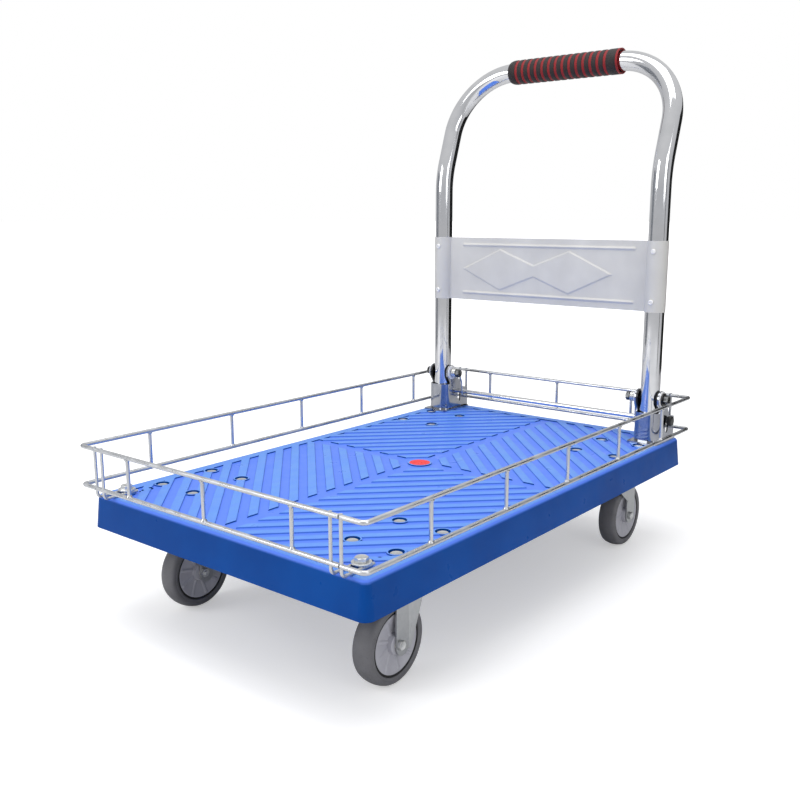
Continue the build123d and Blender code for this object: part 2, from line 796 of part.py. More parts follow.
def bracket():
    """Right-hand piece about y = 0, before it is set beside its leg."""
    flange_depth = flange_front + bracket_rear
    flange = Pos(leg_x + (flange_front - bracket_rear) / 2, 0, deck_top) * extrude(
        RectangleRounded(flange_depth, 2 * flange_half, flange_corner), amount=bracket_sheet
    )
    solid = flange + bracket_walls()
    outline = cheek_outline(cheek_lobe, deck_top, cheek_lip, bracket_rear, bracket_rear_top)
    slot_low = lock_z - lock_travel
    slot_half = lock_radius + lock_slot_clearance
    for hand in (-1, 1):
        cheek = plate_xz(outline, hand * (bracket_half - bracket_sheet), hand * bracket_half)
        solid += Pos(leg_x, 0, 0) * cheek
    for z in (slot_low, lock_z):
        solid -= peg_y(slot_half, -2 * bracket_half, 2 * bracket_half, leg_x - lock_behind, z)
    gate = Box(2 * slot_half, 4 * bracket_half, lock_travel, align=UP)
    solid -= Pos(leg_x - lock_behind, 0, slot_low) * gate
    solid -= peg_y(pivot_radius, -2 * bracket_half, 2 * bracket_half, leg_x, hinge_z)
    for dx in (bracket_bolt_front, -bracket_bolt_rear):
        solid -= peg(m10_radius + hole_clearance, deck_top, deck_top + bracket_sheet, leg_x + dx, 0)
    return solid


def liner(hand):
    """Black wear plate between the tube and one cheek."""
    outline = Polygon(
        (-cheek_lobe + 1, hinge_z),
        (-cheek_lobe + 1, liner_low),
        (cheek_lip, liner_low),
        (cheek_lip, cup_top + 2),
        (cheek_lobe * 0.88, hinge_z - cheek_lobe * 0.6),
        (cheek_lobe - 1, hinge_z),
        align=None,
    )
    outline += Pos(0, hinge_z) * Circle(cheek_lobe - 1)
    near = hand * (tube_radius + liner_gap)
    far = hand * (bracket_half - bracket_sheet - seat_gap)
    plate = Pos(leg_x, 0, 0) * plate_xz(outline, near, far)
    return plate - peg_y(pivot_radius, -2 * bracket_half, 2 * bracket_half, leg_x, hinge_z)


def ring_y(outer, inner, y0, y1):
    """Washer or sleeve on the pivot."""
    low, high = sorted((y0, y1))
    return peg_y(outer, low, high, leg_x, hinge_z) - peg_y(inner, low, high, leg_x, hinge_z)


face = bracket_half
outboard = face + pivot_washer + pivot_disc
inboard = -face - pivot_washer - sleeve_length
left_leg = Pos(0, leg_y, 0)
bracket_left = bracket()
save("bracket_left", left_leg * bracket_left)
save("bracket_right", mirrored(left_leg * bracket_left))

pivot_end = outboard + pivot_nut - 2
hinge_pieces = {
    "hinge_liners": [liner(-1), liner(1)],
    "pivot_washers": [
        ring_y(pivot_washer_radius, pivot_radius, face, face + pivot_washer),
        ring_y(pivot_washer_radius, pivot_radius, -face - pivot_washer, -face),
    ],
    "pivot_discs": [ring_y(pivot_disc_radius, pivot_radius, face + pivot_washer, outboard)],
    "pivot_sleeves": [ring_y(sleeve_radius, pivot_radius, inboard, -face - pivot_washer)],
    "pivot_bolts": [
        peg_y(pivot_radius, inboard, pivot_end, leg_x, hinge_z)
        + hexagon_y(pivot_nut_flats, inboard - pivot_head, inboard, leg_x, hinge_z)
    ],
    "pivot_nuts": [
        hexagon_y(pivot_nut_flats, outboard, outboard + pivot_nut, leg_x, hinge_z)
        - peg_y(pivot_radius, outboard, pivot_end, leg_x, hinge_z)
    ],
}
for name, pieces in hinge_pieces.items():
    placed = [left_leg * piece for piece in pieces]
    save(name, *placed, *[mirrored(piece) for piece in placed])


def bracket_fasteners():
    """Bolts inside the channel. Each rear one also holds the guard rail's rear feet down."""
    low = deck_top - deck_skin - bracket_boss_height
    end = low - m10_washer - m10_nut
    floor = deck_top + bracket_sheet
    bolts = []
    washers = []
    nuts = []
    for x, y in bracket_bolts:
        seat = floor if x > leg_x else rear_foot_z + leg_wire + seat_gap
        head = seat + m10_washer
        bolts.append(hexagon(m10_flats, head, head + m10_head, x, y) + peg(m10_radius, end, head, x, y))
        for z in (seat, low - m10_washer):
            ring = peg(m10_washer_radius, z, z + m10_washer, x, y)
            washers.append(ring - peg(m10_radius, z, z + m10_washer, x, y))
        nuts.append(hexagon(m10_flats, end, low - m10_washer, x, y) - peg(m10_radius, end, low, x, y))
    return bolts, washers, nuts


bolts, washers, nuts = bracket_fasteners()
save("bracket_bolts", *bolts)
save("bracket_washers", *washers)
save("bracket_nuts", *nuts)


# Foot lock: a rod behind both legs that is pressed down against two springs
lock_x = leg_x - lock_behind
cap_in = leg_y + bracket_half + lock_cap_gap
save("lock_rod", peg_y(lock_radius, -cap_in - lock_end, cap_in + lock_end, lock_x, lock_z))


def lock_end_cap(side):
    cap = peg_y(lock_cap_radius, side * cap_in, side * (cap_in + lock_cap), lock_x, lock_z)
    return cap - peg_y(lock_radius, side * cap_in, side * (cap_in + lock_end), lock_x, lock_z)


save("lock_rod_caps", lock_end_cap(1), lock_end_cap(-1))


def lock_spring():
    """Torsion spring on the pivot sleeve whose leg hooks under the rod."""
    near = -face - pivot_washer - 0.3
    far = inboard + 0.3
    coil = ring_y(spring_coil_radius, sleeve_radius + 0.2, near, far)
    leg_y0 = (near + far) / 2
    front = leg_x - lock_behind + lock_radius + spring_wire + 0.6
    under = lock_z - lock_radius - spring_wire - 0.3
    start = (leg_x - spring_coil_radius + spring_wire, leg_y0, hinge_z)
    points = [start, (front, leg_y0, under), (lock_x - lock_radius / 2, leg_y0, under)]
    leg = wire(points, spring_wire, [3.0])
    leg -= peg_y(sleeve_radius + 0.2, near - 1 - sleeve_length, near + 1, leg_x, hinge_z)
    return coil + leg


spring_left = left_leg * lock_spring()
save("lock_spring_left", spring_left)
save("lock_spring_right", mirrored(spring_left))
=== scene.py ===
import json
import math
import random

import bpy
from mathutils import Matrix, Vector


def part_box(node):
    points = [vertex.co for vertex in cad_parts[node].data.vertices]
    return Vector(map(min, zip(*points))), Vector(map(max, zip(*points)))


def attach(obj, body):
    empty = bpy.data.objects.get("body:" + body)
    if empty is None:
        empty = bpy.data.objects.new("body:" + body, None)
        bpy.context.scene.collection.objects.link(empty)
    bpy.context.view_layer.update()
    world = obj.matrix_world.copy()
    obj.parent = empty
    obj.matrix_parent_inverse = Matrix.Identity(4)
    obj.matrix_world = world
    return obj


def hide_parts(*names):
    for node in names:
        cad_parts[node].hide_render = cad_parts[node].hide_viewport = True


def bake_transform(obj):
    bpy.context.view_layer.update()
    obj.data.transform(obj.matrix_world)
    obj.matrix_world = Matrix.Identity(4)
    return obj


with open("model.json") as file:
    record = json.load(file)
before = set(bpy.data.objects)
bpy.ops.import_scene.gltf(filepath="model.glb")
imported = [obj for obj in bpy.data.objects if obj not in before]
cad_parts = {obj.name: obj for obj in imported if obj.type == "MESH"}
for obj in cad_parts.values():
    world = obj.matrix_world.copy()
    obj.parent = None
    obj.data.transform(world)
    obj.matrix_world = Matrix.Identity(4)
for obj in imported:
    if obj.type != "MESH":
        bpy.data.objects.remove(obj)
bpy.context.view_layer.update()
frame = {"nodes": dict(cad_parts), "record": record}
nodes = frame["nodes"]
scene = bpy.context.scene
mm = 0.001
random.seed(11)
print("frame loaded,", len(nodes), "nodes")


# shapes: each is a list of points and a list of faces, in millimetres

def joined(*shapes):
    points, faces = [], []
    for shapePoints, shapeFaces in shapes:
        start = len(points)
        points += shapePoints
        faces += [[i + start for i in face] for face in shapeFaces]
    return points, faces


def placed(shape, place):
    points, faces = shape
    moved = [tuple(place @ Vector(p)) for p in points]
    if place.to_3x3().determinant() < 0:  # a mirror turns the faces inside out
        faces = [face[::-1] for face in faces]
    return moved, faces


def at(x, y, z):
    return Matrix.Translation((x, y, z))


def turnAbout(axis, degrees):
    return Matrix.Rotation(math.radians(degrees), 4, axis)


towardsY = turnAbout("X", -90)  # a shape made along Z comes to lie along Y
mirrorY = Matrix.Diagonal((1, -1, 1, 1))


def turned(profile, steps=64, closed=True):
    # a lathe shape round Z: profile is (radius, height) points, with the outside on their right
    points, faces, rings = [], [], []
    for radius, height in profile:
        if radius < 1e-6:
            rings.append([len(points)])
            points.append((0, 0, height))
        else:
            rings.append(list(range(len(points), len(points) + steps)))
            for k in range(steps):
                a = 2 * math.pi * k / steps
                points.append((radius * math.cos(a), radius * math.sin(a), height))
    pairs = list(zip(rings, rings[1:]))
    if closed:
        pairs.append((rings[-1], rings[0]))
    for low, high in pairs:
        if len(low) == 1 and len(high) == 1:
            continue
        for k in range(steps):
            n = (k + 1) % steps
            if len(low) == 1:
                faces.append([low[0], high[n], high[k]])
            elif len(high) == 1:
                faces.append([low[k], low[n], high[0]])
            else:
                faces.append([low[k], low[n], high[n], high[k]])
    return points, faces


def eased(profile, radius, steps=3):
    # rounds each corner of a closed profile
    soft, count = [], len(profile)
    for i, corner in enumerate(profile):
        here = Vector(corner)
        before, after = Vector(profile[i - 1]), Vector(profile[(i + 1) % count])
        if here.x < 1e-6:
            soft.append(corner)
            continue
        cutIn = min(radius, (before - here).length * 0.45)
        cutOut = min(radius, (after - here).length * 0.45)
        start = here + (before - here).normalized() * cutIn
        end = here + (after - here).normalized() * cutOut
        for k in range(steps + 1):
            t = k / steps
            soft.append(tuple(start * (1 - t) ** 2 + here * 2 * t * (1 - t) + end * t * t))
    return soft


def ringShape(inner, outer, low, high, ease=0.4, steps=64):
    profile = [(inner, low), (outer, low), (outer, high), (inner, high)]
    return turned(eased(profile, ease), steps)


def pinShape(radius, low, high, ease=0.5, steps=48):
    profile = [(0, low), (radius, low), (radius, high), (0, high)]
    return turned(eased(profile, ease), steps, closed=False)


def hexShape(flats, height, bore=0.0, steps=72):
    # hexagon with the chamfered crown that a turned blank leaves, standing on z = 0
    apothem = flats / 2
    crown = apothem * 0.97

    def hexRadius(k):
        a = (2 * math.pi * k / steps) % (math.pi / 3)
        return apothem / math.cos(a - math.pi / 6)

    def ring(radiusOf, heightOf):
        row = []
        for k in range(steps):
            a = 2 * math.pi * k / steps
            r = radiusOf(k)
            row.append((r * math.cos(a), r * math.sin(a), heightOf(r)))
        return row

    slope = math.tan(math.radians(30))
    inside = max(bore, 0.6)
    rows = [
        ring(lambda k: inside, lambda r: 0),
        ring(lambda k: crown, lambda r: 0),
        ring(hexRadius, lambda r: (r - crown) * slope * 0.4),
        ring(hexRadius, lambda r: height - (r - crown) * slope),
        ring(lambda k: crown, lambda r: height),
        ring(lambda k: crown * 0.93, lambda r: height + (0.0 if bore else -0.25)),
        ring(lambda k: inside, lambda r: height + (0.0 if bore else -0.25)),
    ]
    points = [p for row in rows for p in row]
    faces = []
    for r in range(len(rows) - 1):
        for k in range(steps):
            n = (k + 1) % steps
            faces.append([r * steps + k, r * steps + n, (r + 1) * steps + n, (r + 1) * steps + k])
    if bore:
        last = (len(rows) - 1) * steps
        for k in range(steps):
            n = (k + 1) % steps
            faces.append([last + k, last + n, n, k])
    else:
        faces.append([(len(rows) - 1) * steps + k for k in range(steps)])
        faces.append([k for k in range(steps)][::-1])
    return points, faces


def roundedLine(corners, radii, stepDegrees=3.0):
    # straight runs joined by arcs
    line = [Vector(corners[0])]
    for i, radius in enumerate(radii, 1):
        before, here, after = (Vector(corners[j]) for j in (i - 1, i, i + 1))
        inward, onward = (here - before).normalized(), (after - here).normalized()
        turn = inward.angle(onward)
        start = here - inward * radius * math.tan(turn / 2)
        side = (onward - inward * onward.dot(inward)).normalized()
        centre = start + side * radius
        count = max(2, round(math.degrees(turn) / stepDegrees))
        for k in range(count + 1):
            a = turn * k / count
            line.append(centre - side * radius * math.cos(a) + inward * radius * math.sin(a))
    line.append(Vector(corners[-1]))
    return line


def swept(line, radius, sides=24):
    # a round wire or tube along a line; the section is carried along without twisting
    points, faces = [], []
    count = len(line)
    tangents = []
    for i in range(count):
        ahead, behind = line[min(i + 1, count - 1)], line[max(i - 1, 0)]
        tangents.append((Vector(ahead) - Vector(behind)).normalized())
    across = tangents[0].orthogonal().normalized()
    for i in range(count):
        across = (across - tangents[i] * across.dot(tangents[i])).normalized()
        other = tangents[i].cross(across)
        for k in range(sides):
            a = 2 * math.pi * k / sides
            offset = across * math.cos(a) + other * math.sin(a)
            points.append(tuple(Vector(line[i]) + offset * radius))
    for i in range(count - 1):
        for k in range(sides):
            n = (k + 1) % sides
            faces.append([i * sides + k, i * sides + n, (i + 1) * sides + n, (i + 1) * sides + k])
    faces.append(list(range(sides))[::-1])
    faces.append([(count - 1) * sides + k for k in range(sides)])
    return points, faces


def subdivided(line, longest):
    # extra points on long runs, so that a bend starts from a short face
    out = [line[0]]
    for a, b in zip(line, line[1:]):
        parts = max(1, math.ceil((b - a).length / longest))
        out += [a.lerp(b, k / parts) for k in range(1, parts + 1)]
    return out


def makePiece(name, shape, finish, body, standsFor=(), smooth=32.0):
    points, faces = shape
    mesh = bpy.data.meshes.new(name)
    mesh.from_pydata([tuple(c * mm for c in p) for p in points], [], faces)
    mesh.validate()
    mesh.shade_smooth()
    mesh.set_sharp_from_angle(angle=math.radians(smooth))
    mesh.materials.append(finish)
    piece = bpy.data.objects.new(name, mesh)
    scene.collection.objects.link(piece)
    if body:
        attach(piece, body)
    if standsFor:
        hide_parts(*standsFor)
    return piece


# finishes

def hexColour(code):
    channels = [int(code[i:i + 2], 16) / 255 for i in (1, 3, 5)]
    return tuple(c / 12.92 if c <= 0.04045 else ((c + 0.055) / 1.055) ** 2.4 for c in channels) + (1.0,)


def add(tree, kind, settings=None, links=None):
    node = tree.nodes.new(kind)
    for key, value in (settings or {}).items():
        if isinstance(key, str) and hasattr(node, key):
            setattr(node, key, value)
        else:
            node.inputs[key].default_value = value
    for key, source in (links or {}).items():
        tree.links.new(source, node.inputs[key])
    return node


def startFinish(name, colour, roughness, metallic=0.0, ior=1.5):
    finish = bpy.data.materials.new(name)
    finish.use_nodes = True
    tree = finish.node_tree
    tree.nodes.clear()
    shader = add(tree, "ShaderNodeBsdfPrincipled", {
        "Base Color": hexColour(colour),
        "Roughness": roughness,
        "Metallic": metallic,
        "IOR": ior,
    })
    output = add(tree, "ShaderNodeOutputMaterial")
    tree.links.new(shader.outputs[0], output.inputs[0])
    where = add(tree, "ShaderNodeTexCoord").outputs["Object"]
    return finish, tree, shader, where


def patches(tree, where, sizeMm, detail=3.0, stretch=(1, 1, 1)):
    # soft noise whose blotches are about sizeMm across
    scaled = add(tree, "ShaderNodeMapping", {"Scale": stretch}, {"Vector": where})
    settings = {"Scale": 1 / (sizeMm * mm), "Detail": detail, "Roughness": 0.5}
    return add(tree, "ShaderNodeTexNoise", settings, {"Vector": scaled.outputs[0]}).outputs[0]


def remap(tree, value, low, high, newLow, newHigh):
    settings = {"From Min": low, "From Max": high, "To Min": newLow, "To Max": newHigh}
    return add(tree, "ShaderNodeMapRange", settings, {"Value": value}).outputs[0]


def tinted(tree, factor, first, second):
    # first is a hex colour or the colour that an earlier node gives
    settings, links = {"data_type": "RGBA", 7: hexColour(second)}, {0: factor}
    if isinstance(first, str):
        settings[6] = hexColour(first)
    else:
        links[6] = first
    return add(tree, "ShaderNodeMix", settings, links).outputs[2]


def roundEdges(tree, radiusMm):
    return add(tree, "ShaderNodeBevel", {"samples": 4, "Radius": radiusMm * mm}).outputs[0]


def edges(tree, radiusMm):
    # 1 along the edges and 0 on the flats, from how far a rounded normal leans from the true one
    soft = roundEdges(tree, radiusMm)
    true = add(tree, "ShaderNodeNewGeometry").outputs["True Normal"]
    dot = add(tree, "ShaderNodeVectorMath", {"operation": "DOT_PRODUCT"}, {0: soft, 1: true}).outputs["Value"]
    return remap(tree, dot, 0.98, 0.75, 0, 1)


def bumped(tree, shader, height, depthMm, normal=None):
    links = {"Height": height}
    if normal:
        links["Normal"] = normal
    bump = add(tree, "ShaderNodeBump", {"Strength": 1.0, "Distance": depthMm * mm}, links)
    tree.links.new(bump.outputs[0], shader.inputs["Normal"])


def injectionMouldedPolypropylene():
    # fine spark-eroded grain on deep blue; faces that look up are painted paler as painted light from above,
    # ribs' tops rubbed greyer
    finish, tree, shader, where = startFinish("injectionMouldedPolypropylene", "#00458f", 0.34, ior=1.49)
    shader.inputs["Specular IOR Level"].default_value = 0.1
    cloud = remap(tree, patches(tree, where, 90), 0.35, 0.7, 0, 1)
    colour = tinted(tree, cloud, "#004290", "#004a9c")
    normal = add(tree, "ShaderNodeNewGeometry").outputs["Normal"]
    facing = add(tree, "ShaderNodeSeparateXYZ", links={0: normal}).outputs[2]
    # painted light: faces that look up get a paler blue that stands for light falling from above
    paintedSkyLight = remap(tree, facing, 0.16, 0.62, 0, 1)
    colour = tinted(tree, paintedSkyLight, colour, "#5c84ee")
    height = add(tree, "ShaderNodeSeparateXYZ", links={0: where}).outputs[2]
    top = remap(tree, height, (deckTop - 1.2) * mm, (deckTop - 0.3) * mm, 0, 1)
    rub = remap(tree, patches(tree, where, 14, 6, (0.25, 1, 1)), 0.3, 0.6, 0.6, 0.95)
    rubbed = add(tree, "ShaderNodeMath", {"operation": "MULTIPLY"}, {0: top, 1: rub}).outputs[0]
    rubbed = add(tree, "ShaderNodeMath", {"operation": "MULTIPLY"}, {0: rubbed, 1: paintedSkyLight}).outputs[0]
    colour = tinted(tree, rubbed, colour, "#6698e6")
    tree.links.new(colour, shader.inputs["Base Color"])
    worn = remap(tree, patches(tree, where, 30, 5), 0.3, 0.7, 0.27, 0.40)
    tree.links.new(worn, shader.inputs["Roughness"])
    grain = patches(tree, where, 1.6, 2)  # real grit is about 0.1 mm and would not show
    bumped(tree, shader, grain, 0.05)
    return finish


def glossyAbs(name, colour, roughness):
    # hard mirror-like skin with a little flow waviness
    finish, tree, shader, where = startFinish(name, colour, roughness, ior=1.53)
    wave = patches(tree, where, 12, 1)
    waved = remap(tree, wave, 0.3, 0.7, roughness * 0.8, roughness * 1.4)
    tree.links.new(waved, shader.inputs["Roughness"])
    bumped(tree, shader, wave, 0.05, roundEdges(tree, 0.4))
    return finish


def mouldedNylon(name, colour, second, roughness):
    # dry satin skin, flow marks a shade lighter, edges rounded in the shading
    finish, tree, shader, where = startFinish(name, colour, roughness, ior=1.53)
    flow = patches(tree, where, 16, 4, (1, 1, 0.4))
    shade = tinted(tree, remap(tree, flow, 0.35, 0.7, 0, 1), colour, second)
    tree.links.new(shade, shader.inputs["Base Color"])
    dryness = remap(tree, flow, 0.3, 0.7, roughness * 0.85, roughness * 1.2)
    tree.links.new(dryness, shader.inputs["Roughness"])
    bumped(tree, shader, patches(tree, where, 1.2, 2), 0.03, roundEdges(tree, 0.5))
    return finish


def zincPlatedSteel(name, colour, roughness):
    # bright passivated plating with a faint cloudy bloom; the edges are painted whiter as a painted highlight
    finish, tree, shader, where = startFinish(name, colour, roughness, 1.0)
    bloom = patches(tree, where, 5, 4)
    shade = tinted(tree, remap(tree, bloom, 0.35, 0.7, 0, 0.5), colour, "#b9bcbd")
    # painted highlight: edges tinted near white
    shade = tinted(tree, edges(tree, 0.5), shade, "#f2f2f0")
    tree.links.new(shade, shader.inputs["Base Color"])
    dullness = remap(tree, bloom, 0.3, 0.7, roughness * 0.8, roughness * 1.5)
    tree.links.new(dullness, shader.inputs["Roughness"])
    bumped(tree, shader, patches(tree, where, 0.8, 3), 0.01, roundEdges(tree, 0.35))
    return finish


def pressedGalvanisedSheet():
    # rolled grain along the sheet, drawn broader than the real 0.2 mm so that it shows, and dull spangle
    finish, tree, shader, where = startFinish("pressedGalvanisedSheet", "#b4b6b8", 0.34, 1.0)
    rolled = patches(tree, where, 3, 4, (1.6, 1.6, 0.08))
    settings = {"Scale": 1 / (5 * mm)}
    spangle = add(tree, "ShaderNodeTexVoronoi", settings, {"Vector": where}).outputs["Color"]
    shade = tinted(tree, remap(tree, spangle, 0, 1, 0, 0.35), "#b9bbbc", "#a3a6a9")
    # painted highlight: edges tinted lighter
    shade = tinted(tree, edges(tree, 0.8), shade, "#dcdddd")
    tree.links.new(shade, shader.inputs["Base Color"])
    tree.links.new(remap(tree, rolled, 0.3, 0.7, 0.27, 0.44), shader.inputs["Roughness"])
    bumped(tree, shader, rolled, 0.02, roundEdges(tree, 0.8))
    return finish


def castPolyurethaneTyre():
    # slightly waxy grey rubber, cloudy in tone with darker specks
    finish, tree, shader, where = startFinish("castPolyurethaneTyre", "#66666a", 0.5)
    speck = patches(tree, where, 2.2, 5)
    cloud = patches(tree, where, 24, 3)
    shade = tinted(tree, remap(tree, cloud, 0.3, 0.7, 0, 1), "#636367", "#6e6e72")
    shade = tinted(tree, remap(tree, speck, 0.6, 0.75, 0, 0.35), shade, "#48484c")
    tree.links.new(shade, shader.inputs["Base Color"])
    tree.links.new(remap(tree, speck, 0.3, 0.7, 0.4, 0.62), shader.inputs["Roughness"])
    bumped(tree, shader, speck, 0.06)
    return finish


def chromePlatedSteel(name, colour, roughness, waveMm, waveDepth):
    # near-mirror plating over drawn steel: long faint waves, a few handling smudges, dark neutral tint
    finish, tree, shader, where = startFinish(name, colour, roughness, 1.0)
    smudge = patches(tree, where, 26, 5)
    dullness = remap(tree, smudge, 0.45, 0.75, roughness, roughness * 2.4)
    tree.links.new(dullness, shader.inputs["Roughness"])
    shade = tinted(tree, remap(tree, smudge, 0.4, 0.75, 0, 0.5), colour, "#cfd1d4")
    tree.links.new(shade, shader.inputs["Base Color"])
    bumped(tree, shader, patches(tree, where, waveMm, 1), waveDepth)
    return finish


def powderCoatedSheet():
    # thin even coat with orange peel, and a painted highlight that makes the edges a shade lighter
    finish, tree, shader, where = startFinish("powderCoatedSheet", "#cac9c7", 0.42)
    shade = tinted(tree, remap(tree, patches(tree, where, 70), 0.35, 0.7, 0, 1), "#c6c5c3", "#d0cfcc")
    # painted highlight: edges tinted a shade lighter
    shade = tinted(tree, edges(tree, 0.6), shade, "#dededf")
    tree.links.new(shade, shader.inputs["Base Color"])
    peel = patches(tree, where, 1.5, 2)
    tree.links.new(remap(tree, peel, 0.3, 0.7, 0.36, 0.5), shader.inputs["Roughness"])
    shader.inputs["Coat Weight"].default_value = 0.15
    shader.inputs["Coat Roughness"].default_value = 0.25
    bumped(tree, shader, peel, 0.02, roundEdges(tree, 0.5))
    return finish


def extrudedFoamRubber(name, colour, second):
    # closed-cell nitrile foam: tiny open cells on a soft dull skin
    finish, tree, shader, where = startFinish(name, colour, 0.62, ior=1.45)
    settings = {"Scale": 1 / (0.9 * mm)}
    cells = add(tree, "ShaderNodeTexVoronoi", settings, {"Vector": where}).outputs["Distance"]
    soft = patches(tree, where, 7, 4)
    shade = tinted(tree, remap(tree, soft, 0.35, 0.7, 0, 1), colour, second)
    tree.links.new(shade, shader.inputs["Base Color"])
    tree.links.new(remap(tree, soft, 0.3, 0.7, 0.5, 0.72), shader.inputs["Roughness"])
    shader.inputs["Sheen Weight"].default_value = 0.15
    shader.inputs["Sheen Roughness"].default_value = 0.4
    bumped(tree, shader, cells, 0.12)
    return finish


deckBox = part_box("deck_shell")
deckTop = deckBox[1].z / mm
bluePlastic = injectionMouldedPolypropylene()
redAbs = glossyAbs("glossyRedAbs", "#f0000a", 0.3)
whiteAbs = glossyAbs("glossyWhiteAbs", "#e9e9ea", 0.22)
zinc = zincPlatedSteel("zincPlatedSteel", "#e4e5e4", 0.32)
sheetSteel = pressedGalvanisedSheet()
tyreRubber = castPolyurethaneTyre()
hubNylon = mouldedNylon("mouldedGreyNylon", "#adadb6", "#b9b9c1", 0.42)
bushNylon = mouldedNylon("mouldedNaturalNylon", "#d8d7d0", "#e2e1dc", 0.4)
blackNylon = mouldedNylon("mouldedBlackNylon", "#0d0d0e", "#18181a", 0.3)
# painted shadow: black finish for the ring that stands in for the shaded gap between hub and tyre
grooveShadowFinish = mouldedNylon("paintedGrooveShadow", "#0b0b0c", "#161617", 0.55)
wireChrome = chromePlatedSteel("chromePlatedWire", "#cfd1d4", 0.27, 9, 0.02)
tubeChrome = chromePlatedSteel("polishedChromeTube", "#e2e3e6", 0.05, 40, 0.03)
bracketChrome = chromePlatedSteel("chromedPressedSheet", "#9da0a9", 0.09, 12, 0.04)
blackSteel = zincPlatedSteel("blackOxideSteel", "#2a2a2c", 0.3)
panelCoat = powderCoatedSheet()
foamBlack = extrudedFoamRubber("blackNitrileFoam", "#1a1516", "#2a2122")
foamRed = extrudedFoamRubber("redNitrileFoam", "#7f0b12", "#941118")
springSteel = zincPlatedSteel("drawnSpringSteel", "#d9d9d6", 0.2)

slotFinish = {
    "deck_blue_plastic": bluePlastic, "disc_red_plastic": redAbs, "zinc_steel": zinc,
    "galvanised_sheet": sheetSteel, "tyre_rubber": tyreRubber, "hub_plastic": hubNylon,
    "bush_plastic": bushNylon, "rail_chrome": wireChrome, "tube_chrome": tubeChrome,
    "bracket_chrome": bracketChrome, "panel_grey": panelCoat, "cap_white": whiteAbs,
    "black_plastic": blackNylon, "black_steel": blackSteel, "grip_foam": foamBlack,
    "grip_red": foamRed, "spring_steel": springSteel,
}
slotOf = {part["node"]: part["material_slot"] for part in frame["record"]["subparts"]}
for name, node in nodes.items():
    node.data.materials.clear()
    node.data.materials.append(slotFinish[slotOf[name]])
    node.data.shade_smooth()
    node.data.set_sharp_from_angle(angle=math.radians(28))
print("finishes made,", len(bpy.data.materials))


# places

boltRadius = 5.0  # every M10 bolt and screw
boltHole = 5.1
sharedLegY = 255.8  # handle legs, rail legs and pivots
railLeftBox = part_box("rail_left")
shift = (railLeftBox[0].x + railLeftBox[1].x) / 2 / mm  # the deck's middle along X
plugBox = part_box("handle_tube_plugs")
legX = (plugBox[0].x + plugBox[1].x) / 2 / mm
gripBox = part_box("grip_foam")
barX = (gripBox[0].x + gripBox[1].x) / 2 / mm
barZ = (gripBox[0].z + gripBox[1].z) / 2 / mm
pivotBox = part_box("pivot_nuts")
pivotZ = (pivotBox[0].z + pivotBox[1].z) / 2 / mm
sides = (("left", 1), ("right", -1))


# wheels

wheel = {
    "tyreOuter": 63.5, "tyreInner": 49.2, "tyreHalf": 17.0, "grooveDepth": 2.6,
    "hubOuter": 46.0, "hubHalf": 15.4, "dishDepth": 4.6, "bossRadius": 15.5, "bossHalf": 18.3,
    "spokes": 9, "spokeWidth": 4.2, "spokeHeight": 1.3, "bore": 7.05, "grooveShadowHalf": 15.2, "bushHalf": 18.8,
    "forkFace": 22.3, "axle": 4.0, "axleFlats": 13, "axleHead": 5.3, "axleNut": 6.5, "axleTail": 8.5,
}


def tyreShape():
    w = wheel
    half = w["tyreHalf"]
    rim, groove = w["tyreInner"], half - w["grooveDepth"]
    wall = [
        (rim, groove), (rim, half - 1.0), (rim + 0.5, half - 0.35), (rim + 1.4, half),
        (53.2, half), (53.6, half - 0.35), (54.2, half - 0.35), (54.6, half),
        (57.0, half - 0.2), (58.8, half - 0.9), (60.2, half - 2.1), (61.3, half - 4.0),
        (62.1, half - 6.6), (62.8, half - 9.6), (63.3, half - 13.0), (w["tyreOuter"], 1.0),
    ]
    lower = [(r, -h) for r, h in reversed(wall)]
    inner = [(rim - 1.5, -groove), (rim - 1.5, groove)]
    return placed(turned((wall + lower + inner)[::-1], 128), towardsY)


def hubShape():
    w = wheel
    steps = 216
    boss = w["bossRadius"]
    radii = [w["bore"], w["bore"] + 0.5, 11.5, boss - 1.0, boss - 0.3, boss + 0.4]
    radii += [boss + 1.6 + 26.4 * k / 22 for k in range(23)]
    radii += [43.9, 44.3, 44.8, w["hubOuter"] - 0.6, w["hubOuter"]]

    def faceHeight(radius, angle):
        # the dish runs from the boss to a flat margin at the hub's edge
        inward = min(1, max(0, (44.2 - radius) / 27))
        dish = w["hubHalf"] - w["dishDepth"] * math.sin(math.pi * inward / 2)
        if radius <= w["bore"] + 0.01:
            return w["bossHalf"] - 0.5
        if radius < boss - 0.5:
            return w["bossHalf"]
        if radius < boss:
            return w["bossHalf"] - 0.6
        if radius >= w["hubOuter"] - 0.01:
            return w["hubHalf"] - 0.7
        gap = 2 * math.pi / w["spokes"]
        away = abs((angle + gap / 2) % gap - gap / 2) * radius
        rise = min(1, max(0, (w["spokeWidth"] / 2 + 1.0 - away) / 1.6))
        ends = min(1, max(0, (44.0 - radius) / 2.5))
        rise = rise * rise * (3 - 2 * rise) * ends
        return dish + rise * w["spokeHeight"]

    points, faces = [], []
    for hand in (1, -1):
        for radius in radii:
            for k in range(steps):
                a = 2 * math.pi * k / steps
                height = hand * faceHeight(radius, a)
                points.append((radius * math.cos(a), radius * math.sin(a), height))
    rows = len(radii)
    for r in range(rows - 1):
        for k in range(steps):
            n = (k + 1) % steps
            top = [r * steps + k, (r + 1) * steps + k, (r + 1) * steps + n, r * steps + n]
            faces.append(top)
            faces.append([i + rows * steps for i in top][::-1])
    for k in range(steps):
        n = (k + 1) % steps
        outer, other = (rows - 1) * steps, rows * steps
        faces.append([outer + k, outer + other + k, outer + other + n, outer + n])
        faces.append([k, n, other + n, other + k])
    return placed((points, faces), towardsY)


